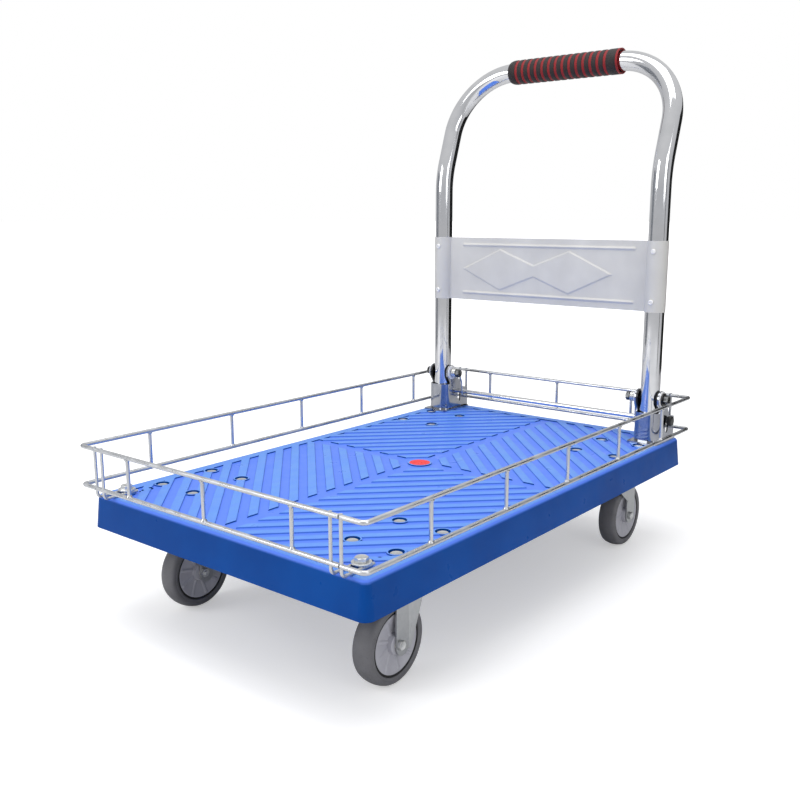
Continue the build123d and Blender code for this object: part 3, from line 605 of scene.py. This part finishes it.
tyreMade, hubMade = tyreShape(), hubShape()
grooveShadowHalf, bushHalf = wheel["grooveShadowHalf"], wheel["bushHalf"]
# painted shadow: a black ring between hub and tyre stands in for the groove in shade
grooveShadowRing = ringShape(wheel["hubOuter"] - 0.4, wheel["tyreInner"] + 0.3, -grooveShadowHalf, grooveShadowHalf, 0.5, 128)
grooveShadowMade = placed(grooveShadowRing, towardsY)
bush = ringShape(wheel["axle"] + 0.05, wheel["bore"], -bushHalf, bushHalf, 0.4, 64)
bushMade = placed(bush, towardsY)
for end in ("front", "rear"):
    for hand, side in sides:
        low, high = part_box(f"{end}_tyre_{hand}")
        middle = (low + high) / 2 / mm
        place = at(*middle) @ turnAbout("Y", random.uniform(0, 40))
        body = f"{end}_wheel_{hand}"
        own = f"{end}_%s_{hand}"
        for kind, made, finish, slotName, node in (
            ("Tyre", tyreMade, tyreRubber, "tyre_rubber", [own % "tyre"]),
            ("Hub", hubMade, hubNylon, "hub_plastic", [own % "hub"]),
            ("GrooveShadow", grooveShadowMade, grooveShadowFinish, "tyre_rubber", []),
            ("Bush", bushMade, bushNylon, "bush_plastic", [own % "bush"]),
        ):
            makePiece(f"{end}{kind}.{hand}", placed(made, place), finish, body, node)
        # axle: bolt head outside, nut inside
        face, flats = wheel["forkFace"], wheel["axleFlats"]
        axle = placed(joined(
            placed(hexShape(flats, wheel["axleHead"]), at(0, 0, face)),
            pinShape(wheel["axle"], -face - wheel["axleTail"], face + 2),
            placed(hexShape(flats, wheel["axleNut"], wheel["axle"]), at(0, 0, -face) @ turnAbout("X", 180)),
        ), towardsY if side > 0 else mirrorY @ towardsY)
        axleBody = f"caster_{hand}" if end == "rear" else "base"
        axle = placed(axle, at(*middle))
        makePiece(f"{end}Axle.{hand}", axle, zinc, axleBody, [own % "axle"])
print("wheels made")


# guard rail

rail = {
    "x": 498.25, "y": 304.0, "top": 297.7, "low": 233.4, "wire": 3.5, "post": 3.0, "leg": 2.5,
    "corner": 7.5, "sideStep": 183.0, "endStep": 178.0, "legPair": 18.0, "legY": sharedLegY, "gap": 0.3,
    "frontFoot": 62.0, "rearFoot": 47.0, "bend": 8.0, "topOver": 4.5, "frontFootZ": 218.6,
    "rearFootZ": 221.6,
}


def postShape(x, y, low, high, radius, wireRadius):
    # short wire with a small weld bead where it meets each long wire
    shape = pinShape(radius, low, high, 0.3, 20)
    beads = []
    for end, way in ((low, 1), (high, -1)):
        start = end + way * (wireRadius - 0.9)
        profile = [(radius - 0.2, 0), (radius + 1.7, 0), (radius + 1.3, way * 1.3)]
        profile += [(radius + 0.45, way * 2.5), (radius - 0.2, way * 3.6)]
        if way < 0:
            profile = profile[::-1]
        beads.append(placed(turned(profile, 20), at(0, 0, start)))
    return placed(joined(shape, *beads), at(x, y, 0))


def legShape(end, y):
    r = rail
    x = end * r["x"]
    foot, z = (r["frontFoot"], r["frontFootZ"]) if end > 0 else (r["rearFoot"], r["rearFootZ"])
    corners = [(x, y, r["top"] + r["topOver"]), (x, y, z), (x - end * foot, y, z)]
    return swept(subdivided(roundedLine(corners, [r["bend"]], 9), 30), r["leg"], 20)


def endPanelShape(end):
    r = rail
    half = r["legY"] - r["legPair"] / 2
    reach = half + r["legPair"] - r["leg"] - r["gap"]  # the long wires end just short of the outer legs
    shapes = []
    for z in (r["top"], r["low"]):
        line = subdivided([Vector((end * r["x"], -reach, z)), Vector((end * r["x"], reach, z))], 40)
        shapes.append(swept(line, r["wire"], 24))
    for k in (-1, 0, 1):
        y = k * r["endStep"]
        shapes.append(postShape(end * r["x"], y, r["low"], r["top"], r["post"], r["wire"]))
    for hand in (-1, 1):
        shapes.append(legShape(end, hand * half))
    return joined(*shapes)


def sidePanelShape(side):
    r = rail
    y, leg = side * r["y"], side * (r["legY"] + r["legPair"] / 2)
    shapes = []
    for z in (r["top"], r["low"]):
        corners = [(r["x"], leg, z), (r["x"], y, z), (-r["x"], y, z), (-r["x"], leg, z)]
        line = subdivided(roundedLine(corners, [r["corner"], r["corner"]], 7.5), 40)
        shapes.append(swept(line, r["wire"], 24))
    for k in (-2, -1, 0, 1, 2):
        shapes.append(postShape(k * r["sideStep"], y, r["low"], r["top"], r["post"], r["wire"]))
    for end in (-1, 1):
        shapes.append(legShape(end, leg))
    return joined(*shapes)


toRow = at(shift, 0, 0)
railPieces = {
    "rail_front": endPanelShape(1), "rail_rear": endPanelShape(-1),
    "rail_left": sidePanelShape(1), "rail_right": sidePanelShape(-1),
}
for node, shape in railPieces.items():
    wires = placed(shape, toRow)
    makePiece("wire." + node, wires, wireChrome, "base", [node], smooth=50)

clamp = {
    "inset": 48.0, "washerRadius": 14.0, "washer": 2.5, "washerZ": 221.2, "flats": 17.0, "head": 6.4,
    "screwLow": 192, "headTurn": 17,
}
clampScrews, clampWashers = [], []
for side in (-1, 1):
    x, y = rail["x"] - clamp["inset"], side * rail["legY"]
    low, high = clamp["washerZ"], clamp["washerZ"] + clamp["washer"]
    washer = ringShape(boltRadius, clamp["washerRadius"], low, high, 0.8)
    clampWashers.append(placed(washer, at(x, y, 0)))
    turn = turnAbout("Z", clamp["headTurn"] * side)
    head = placed(hexShape(clamp["flats"], clamp["head"]), at(x, y, high) @ turn)
    shank = placed(pinShape(boltRadius, clamp["screwLow"], high), at(x, y, 0))
    clampScrews.append(joined(head, shank))
for name, shapes, node in (
    ("clampScrews", clampScrews, "rail_clamp_screws"),
    ("clampWashers", clampWashers, "rail_clamp_washers"),
):
    makePiece(name, placed(joined(*shapes), toRow), zinc, "base", [node])
print("guard rail made")


# handle

handle = {
    "radius": 19.0, "low": 260.0, "bendStart": 743.4, "bend": 199.0, "corner": 131.0, "legY": sharedLegY,
}


def handleLine():
    h = handle
    y = h["legY"]
    corners = [
        (legX, -y, h["low"]), (legX, -y, h["bendStart"]), (barX, -y, barZ),
        (barX, y, barZ), (legX, y, h["bendStart"]), (legX, y, h["low"]),
    ]
    radii = [h["bend"], h["corner"], h["corner"], h["bend"]]
    return subdivided(roundedLine(corners, radii, 2.0), 25)


tube = swept(handleLine(), handle["radius"], 64)
makePiece("handleTube", tube, tubeChrome, "handle", ["handle_tube"], smooth=50)
plugProfile = [(0, -2.5), (18.9, -2.5), (18.9, 0.05), (17.4, 0.05), (17.4, 17), (15.5, 18), (0, 18)]
plug = turned(eased(plugProfile, 0.7), 64, closed=False)
plugs = [placed(plug, at(legX, side * handle["legY"], handle["low"])) for side in (-1, 1)]
makePiece("tubePlugs", joined(*plugs), blackNylon, "handle", ["handle_tube_plugs"])

# panel: one sheet that wraps each leg, with two beads and a raised double diamond
sheet = {
    "low": 475.0, "high": 612.0, "thick": 1.2, "gap": 0.15, "wrapBehind": 35.0, "webBend": 3.0,
    "beadInset": 16.0, "beadHalf": 4.2, "beadRise": 2.6, "beadEnd": 208.0, "beadEndLeft": 198.0,
    "raise": 2.0, "shoulder": 3.2, "diamondMiddle": -19.0, "diamondLength": 180.0, "diamondHalf": 43.5,
    "peak": 84.0, "waist": 11.6, "screwInset": 20.0,
}


def smoothStep(t):
    t = min(1.0, max(0.0, t))
    return t * t * (3 - 2 * t)


def diamondEdge(y, z):
    # how far a place on the sheet lies inside the double diamond's outline
    s = sheet
    along = abs(y - s["diamondMiddle"])
    if along > s["peak"]:
        slope = s["diamondHalf"] / (s["diamondLength"] - s["peak"])
        half = (s["diamondLength"] - along) * slope
    else:
        slope = (s["diamondHalf"] - s["waist"]) / s["peak"]
        half = s["waist"] + along * slope
    return (half - abs(z - (s["low"] + s["high"]) / 2)) / math.hypot(1, slope)


def panelShape():
    s = sheet
    inner = handle["radius"] + s["gap"]
    middle = inner + s["thick"] / 2
    # plan of the sheet's middle surface as (x, y, outward x, outward y), from leg to leg
    plan = []
    turnEnd = 90 + s["wrapBehind"]
    for k in range(57):
        a = math.radians(-turnEnd + (turnEnd + 88) * k / 56)
        y = -handle["legY"] + middle * math.sin(a)
        plan.append((middle * math.cos(a), y, math.cos(a), math.sin(a)))
    flatStart = -handle["legY"] + middle
    # the web leaves each leg's inner side in a small bend
    for k in range(1, 7):
        a = math.radians(90 * k / 6)
        x = s["webBend"] * (1 - math.sin(a))
        plan.append((x, flatStart + s["webBend"] * (1 - math.cos(a)), math.sin(a), math.cos(a)))
    web = []
    start, count = flatStart + s["webBend"], 380
    for k in range(1, count):
        web.append((0.0, start + (-2 * start) * k / count, 1.0, 0.0))
    mirrored = [(x, -y, nx, -ny) for x, y, nx, ny in reversed(plan)]
    plan = plan + web + mirrored
    rows = 138
    front, back = [], []
    for j in range(rows + 1):
        z = s["low"] + (s["high"] - s["low"]) * j / rows
        for x, y, nx, ny in plan:
            rise = 0.0
            if nx > 0.999:
                rise += s["raise"] * smoothStep(diamondEdge(y, z) / s["shoulder"] + 0.5)
                ends = s["beadEnd"] if y > 0 else s["beadEndLeft"]
                for beadZ in (s["low"] + s["beadInset"], s["high"] - s["beadInset"]):
                    away = math.hypot(max(0.0, abs(y) - ends), z - beadZ)
                    if away < s["beadHalf"]:
                        crest = 0.5 + 0.5 * math.cos(math.pi * away / s["beadHalf"])
                        rise += s["beadRise"] * crest
            out = s["thick"] / 2 + rise
            front.append((legX + x + nx * out, y + ny * out, z))
            out = rise - s["thick"] / 2
            back.append((legX + x + nx * out, y + ny * out, z))
    wide = len(plan)
    total = len(front)
    faces = []
    for j in range(rows):
        for i in range(wide - 1):
            quad = [j * wide + i, j * wide + i + 1, (j + 1) * wide + i + 1, (j + 1) * wide + i]
            faces.append(quad)
            faces.append([q + total for q in quad][::-1])
    for i in range(wide - 1):
        faces.append([i + 1, i, i + total, i + 1 + total])
        top = rows * wide
        faces.append([top + i, top + i + 1, top + i + 1 + total, top + i + total])
    for j in range(rows):
        a, b = j * wide, (j + 1) * wide
        faces.append([a, b, b + total, a + total])
        a, b = a + wide - 1, b + wide - 1
        faces.append([b, a, a + total, b + total])
    return front + back, faces


makePiece("handlePanel", panelShape(), panelCoat, "handle", ["handle_panel"], smooth=60)

# screws with a white washer cap and a bright head sunk in it
capProfile = [(0, 1.3), (1.9, 1.3), (2.2, 2.1), (3.3, 2.4), (4.4, 1.9), (5.1, 0.9), (5.2, 0.0), (0, 0.0)]
caps, screwHeads = [], []
for side in (-1, 1):
    for z in (sheet["low"] + sheet["screwInset"], sheet["high"] - sheet["screwInset"]):
        face = legX + handle["radius"] + sheet["gap"] + sheet["thick"]
        place = at(face, side * handle["legY"], z) @ turnAbout("Y", 90)
        caps.append(placed(turned(capProfile[::-1], 40, closed=False), place))
        caps.append(placed(pinShape(2.0, -8, 0.2), place))
        screwHeads.append(placed(pinShape(2.1, 1.0, 1.7), place))
makePiece("panelScrewCaps", joined(*caps), whiteAbs, "handle", ["handle_panel_screws"])
makePiece("panelScrewHeads", joined(*screwHeads), zinc, "handle")

# grip: foam sleeve with red rings sunk between black ridges, tapered at one end, red lip at the other
grip = {
    "half": 128.5, "radius": 25.0, "rings": 14, "pitch": 15.9, "first": -106.5, "ringWidth": 5.4,
    "sunk": 0.9, "lip": 4.6,
}


def gripShapes():
    g = grip
    rings = []
    inner = handle["radius"] + 0.05
    crown, floor = g["radius"], g["radius"] - g["sunk"]
    edge, tip = -g["half"], g["half"]
    profile = [(inner, edge), (20.4, edge), (21.9, edge + 1.2), (23.6, edge + 4.5), (24.7, edge + 9.0)]
    for k in range(g["rings"]):
        y = g["first"] + k * g["pitch"]
        low, high = y - g["ringWidth"] / 2, y + g["ringWidth"] / 2
        start = profile[-1][1]
        if k:
            profile += [(crown - 0.35, start + 0.7), (crown, start + 2.0)]
        else:
            profile.append((crown, start + 3.0))
        profile += [(crown, low - 2.0), (crown - 0.35, low - 0.7), (floor - 0.6, low), (floor - 0.6, high)]
        ring = [(floor - 1.5, low - 0.2), (floor - 0.1, low - 0.2), (floor + 0.1, low + 1.2)]
        ring += [(floor + 0.15, y), (floor + 0.1, high - 1.2), (floor - 0.1, high + 0.2)]
        ring.append((floor - 1.5, high + 0.2))
        rings.append(turned(ring[::-1], 96))
    start = profile[-1][1]
    profile += [(crown - 0.35, start + 0.7), (crown, start + 2.2), (crown, tip - 5.2)]
    profile += [(24.6, tip - g["lip"]), (inner, tip - g["lip"])]
    foam = turned(profile[::-1], 96)
    lip = [(21.2, tip - 4.7), (24.7, tip - 4.7), (crown, tip - 3.8), (crown, tip - 0.4)]
    lip += [(24.6, tip), (24.0, tip), (22.2, tip - 2.2), (21.2, tip - 4.0)]
    rings.append(turned(lip[::-1], 96))
    return foam, joined(*rings)


foam, rings = gripShapes()
place = at(barX, 0, barZ) @ towardsY
for name, shape, finish, slotName, node in (
    ("gripFoam", foam, foamBlack, "grip_foam", "grip_foam"),
    ("gripRings", rings, foamRed, "grip_red", "grip_rings"),
):
    soft = makePiece(name, placed(shape, place), finish, "handle", [node], smooth=40)
print("handle made")


# hinge, lock and springs

hinge = {
    "legY": sharedLegY, "face": 25.5, "washerRadius": 16.5, "innerWasherRadius": 16.0, "washer": 2.0,
    "discRadius": 13.0, "disc": 3.2, "flats": 16.0, "nut": 9.6, "nutTurn": 9, "head": 7.5, "headTurn": 14,
    "sleeve": 8.0, "sleeveLength": 14.0, "coil": 8.6, "wire": 1.45, "turns": 4.5,
    "rodBehind": 30.0, "rodZ": 256.0, "rodRadius": 5.0, "capRadius": 10.0, "capGap": 1.5, "cap": 10.0,
}


def mirroredPair(shape):
    return joined(shape, placed(shape, mirrorY))


def onPivot(shape, turn=0.0):
    # a shape made along Z comes to the left leg's pivot, with +Z pointing outboard
    return placed(shape, at(legX, hinge["legY"], pivotZ) @ towardsY @ turnAbout("Z", turn))


h = hinge
outer = h["face"] + h["washer"]
washers = joined(
    onPivot(ringShape(boltHole, h["washerRadius"], h["face"] + 0.02, outer, 0.6)),
    onPivot(ringShape(boltHole, h["innerWasherRadius"], -outer, -h["face"] - 0.02, 0.6)),
)
makePiece("pivotWashers", mirroredPair(washers), whiteAbs, "base", ["pivot_washers"])
disc = onPivot(ringShape(boltHole, h["discRadius"], outer, outer + h["disc"], 1.1))
makePiece("pivotDiscs", mirroredPair(disc), blackNylon, "base", ["pivot_discs"])
nut = placed(hexShape(h["flats"], h["nut"], boltRadius), at(0, 0, outer + h["disc"]))
nut = onPivot(nut, h["nutTurn"])
makePiece("pivotNuts", mirroredPair(nut), blackSteel, "base", ["pivot_nuts"])
sleeveIn = -outer - h["sleeveLength"]
sleeve = onPivot(ringShape(boltHole, h["sleeve"] - 0.9, sleeveIn, -outer, 0.5))
makePiece("pivotSleeves", mirroredPair(sleeve), blackNylon, "base", ["pivot_sleeves"])
boltTip = outer + h["disc"] + h["nut"] - 2.4
bolt = joined(
    onPivot(pinShape(boltRadius, sleeveIn - 0.5, boltTip, 0.8)),
    onPivot(placed(hexShape(h["flats"], h["head"]), at(0, 0, sleeveIn) @ turnAbout("X", 180)), h["headTurn"]),
)
makePiece("pivotBolts", mirroredPair(bolt), blackSteel, "base", ["pivot_bolts"])

rodX = legX - h["rodBehind"]
capIn = h["legY"] + h["face"] + h["capGap"]
rodLine = subdivided([Vector((rodX, -capIn - 6, h["rodZ"])), Vector((rodX, capIn + 6, h["rodZ"]))], 40)
rod = swept(rodLine, h["rodRadius"], 40)
makePiece("lockRod", rod, tubeChrome, "lock_bar", ["lock_rod"], smooth=50)
capProfile = [(5.0, 0), (8.2, 0), (9.4, 0.8), (h["capRadius"], 2.4), (h["capRadius"], 7.6)]
capProfile += [(9.3, 9.3), (7.4, h["cap"]), (0, h["cap"]), (0, 6.9), (5.0, 6.9)]
rodCap = placed(turned(eased(capProfile, 0.5), 56, closed=False), at(rodX, capIn, h["rodZ"]) @ towardsY)
makePiece("lockRodCaps", mirroredPair(rodCap), blackNylon, "lock_bar", ["lock_rod_caps"])


def springLine():
    # coil round the sleeve, then a leg that runs down and hooks under the rod
    s = hinge
    near, far = s["legY"] + sleeveIn + s["wire"] + 0.4, s["legY"] - outer - s["wire"] - 0.4
    steps = 30
    line = []
    count = int(s["turns"] * steps)
    firstAngle = math.radians(180) - s["turns"] * 2 * math.pi
    for k in range(count + 1):
        a = firstAngle + k * 2 * math.pi / steps
        y = far + (near - far) * k / count
        line.append(Vector((legX + s["coil"] * math.cos(a), y, pivotZ - s["coil"] * math.sin(a))))
    y = near
    under = s["rodZ"] - s["rodRadius"] - s["wire"] - 0.1
    front = rodX + s["rodRadius"] + s["wire"] + 1.0
    corners = [
        line[-1], (front + 1.5, y, pivotZ - 24), (front, y, under),
        (rodX - 3.0, y, under), (rodX - 7.5, y, under + 4),
    ]
    tail = subdivided(roundedLine(corners, [9, 3.2, 3.0], 12), 2.5)
    return line + tail[1:]


for hand, side in sides:
    shape = swept(springLine(), h["wire"], 14)
    if side < 0:
        shape = placed(shape, mirrorY)
    name, node = f"lockSpring.{hand}", f"lock_spring_{hand}"
    spring = makePiece(name, shape, springSteel, None, [node], smooth=60)
    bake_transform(spring)
print("hinge and lock made")


# bolts in the deck

deckBolt = {
    "flats": 17.0, "head": 6.4, "below": 2.0, "x": 105.0, "y": 80.0, "plate": 3.5, "nut": 8.0,
    "washer": 2.0, "washerRadius": 8.6, "flange": 11.0, "flangeThick": 1.8, "tail": 11.4,
}
heads, lowWashers, lowNuts = [], [], []
for plateNode in ("front_fork_left", "front_fork_right", "rear_plate_left", "rear_plate_right"):
    low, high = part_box(plateNode)
    middle = (low + high) / 2 / mm
    mountZ = high.z / mm
    for sx in (-1, 1):
        for sy in (-1, 1):
            x, y = middle.x + sx * deckBolt["x"] / 2, middle.y + sy * deckBolt["y"] / 2
            seat = deckTop - deckBolt["below"] - deckBolt["head"]
            spin = turnAbout("Z", random.uniform(0, 60))
            under = mountZ - deckBolt["plate"]
            nutTop = under - deckBolt["washer"]
            heads.append(placed(hexShape(deckBolt["flats"], deckBolt["head"]), at(x, y, seat) @ spin))
            flange = ringShape(boltRadius, deckBolt["flange"], seat, seat + deckBolt["flangeThick"], 0.7)
            heads.append(placed(flange, at(x, y, 0)))
            heads.append(placed(pinShape(boltRadius, under - deckBolt["tail"], seat), at(x, y, 0)))
            washer = ringShape(boltRadius, deckBolt["washerRadius"], nutTop, under, 0.4)
            lowWashers.append(placed(washer, at(x, y, 0)))
            flip = at(x, y, nutTop) @ turnAbout("X", 180) @ turnAbout("Z", random.uniform(0, 60))
            lowNuts.append(placed(hexShape(deckBolt["flats"], deckBolt["nut"], boltRadius), flip))
makePiece("casterBolts", joined(*heads), zinc, "base", ["caster_bolts"])
makePiece("casterWashers", joined(*lowWashers), zinc, "base", ["caster_washers"])
makePiece("casterNuts", joined(*lowNuts), zinc, "base", ["caster_nuts"])
print("bolts made")


# room, light and camera

def mattBoard(name, colour):
    finish = bpy.data.materials.new(name)
    finish.use_nodes = True
    shader = finish.node_tree.nodes["Principled BSDF"]
    shader.inputs["Base Color"].default_value = hexColour(colour)
    shader.inputs["Roughness"].default_value = 0.9
    return finish


def whiteFloor():
    # matt pale paint; seen directly it is lifted, more the farther it is, and runs into the backdrop
    finish, tree, shader, where = startFinish("paintedFloor", "#e4e4e5", 0.95)
    shader.inputs["Specular IOR Level"].default_value = 0.0
    shader.inputs["Emission Color"].default_value = hexColour("#ffffff")
    away = add(tree, "ShaderNodeVectorMath", {"operation": "LENGTH"}, {0: where}).outputs["Value"]
    direct = add(tree, "ShaderNodeLightPath").outputs["Is Camera Ray"]
    lift = remap(tree, away, 0.6, 3.0, 0.4, 0.9)
    glow = add(tree, "ShaderNodeMath", {"operation": "MULTIPLY"}, {0: lift, 1: direct})
    tree.links.new(glow.outputs[0], shader.inputs["Emission Strength"])
    return finish


far = 80  # metres
floorMesh = bpy.data.meshes.new("floor")
floorMesh.from_pydata([(-far, -far, 0), (far, -far, 0), (far, far, 0), (-far, far, 0)], [], [(0, 1, 2, 3)])
floorMesh.materials.append(whiteFloor())
floor = bpy.data.objects.new("floor", floorMesh)
scene.collection.objects.link(floor)

light = {"room": 0.72, "seen": 1.0, "cardAway": 2.6, "cardHigh": 1.45}
world = bpy.data.worlds.new("studio")
scene.world = world
world.use_nodes = True
tree = world.node_tree
tree.nodes.clear()
direction = add(tree, "ShaderNodeTexCoord").outputs["Generated"]
parts = add(tree, "ShaderNodeSeparateXYZ", links={0: direction})
height = remap(tree, parts.outputs[2], -0.1, 0.7, 0, 1)
sky = tinted(tree, height, "#dcdde0", "#ffffff")
room = add(tree, "ShaderNodeBackground", {1: light["room"]}, {0: sky})
seen = add(tree, "ShaderNodeBackground", {0: (1, 1, 1, 1), 1: light["seen"]})
ray = add(tree, "ShaderNodeLightPath").outputs["Is Camera Ray"]
both = add(tree, "ShaderNodeMixShader", links={0: ray, 1: room.outputs[0], 2: seen.outputs[0]})
output = add(tree, "ShaderNodeOutputWorld")
tree.links.new(both.outputs[0], output.inputs[0])


def softBox(name, place, aim, width, height, power):
    lamp = bpy.data.lights.new(name, "AREA")
    lamp.shape = "RECTANGLE"
    lamp.size, lamp.size_y = width, height
    lamp.energy = power
    box = bpy.data.objects.new(name, lamp)
    box.location = place
    box.rotation_euler = (Vector(aim) - Vector(place)).to_track_quat("-Z", "Y").to_euler()
    scene.collection.objects.link(box)


def card(name, turn, width, colour):
    # upright card out of shot that gives the plating a dark line to mirror
    out = Vector((math.cos(math.radians(turn)), math.sin(math.radians(turn)), 0))
    side = Vector((-out.y, out.x, 0)) * width / 2
    up = Vector((0, 0, light["cardHigh"]))
    low = out * light["cardAway"] + Vector((0, 0, 0.01))
    mesh = bpy.data.meshes.new(name)
    mesh.from_pydata([low - side, low + side, low + side + up, low - side + up], [], [(0, 1, 2, 3)])
    mesh.materials.append(mattBoard(name, colour))
    board = bpy.data.objects.new(name, mesh)
    board.visible_camera = False
    scene.collection.objects.link(board)


for number, turn in enumerate((140, 163, 184)):
    card(f"blackCard.{number}", turn, 1.1, "#08090a")
card("slimCard", 97, 0.2, "#2a2b2e")
card("softCard", -72, 1.6, "#8d9095")

softBox("overhead", (0.3, 0.2, 3.0), (0, 0, 0.2), 2.4, 1.8, 42)
softBox("frontLeft", (2.6, -1.4, 1.6), (0.2, 0, 0.3), 1.2, 1.6, 26)
softBox("frontRight", (0.9, 3.0, 1.5), (0, 0, 0.3), 1.0, 1.6, 12)

shot = {"place": (1.2946, 1.0019, 0.6615), "yaw": -140.87, "down": 11.39, "roll": -0.06, "lens": 41.385}
cameraData = bpy.data.cameras.new("camera")
cameraData.lens = shot["lens"]
cameraData.sensor_width = 36
cameraData.clip_start = 0.02
camera = bpy.data.objects.new("camera", cameraData)
scene.collection.objects.link(camera)
yaw, down = math.radians(shot["yaw"]), math.radians(shot["down"])
forward = Vector((math.cos(yaw) * math.cos(down), math.sin(yaw) * math.cos(down), -math.sin(down)))
camera.matrix_world = (
    Matrix.Translation(shot["place"])
    @ forward.to_track_quat("-Z", "Y").to_matrix().to_4x4()
    @ turnAbout("Z", shot["roll"])
)
scene.camera = camera
scene.view_settings.view_transform = "Standard"
print("room, light and camera set")
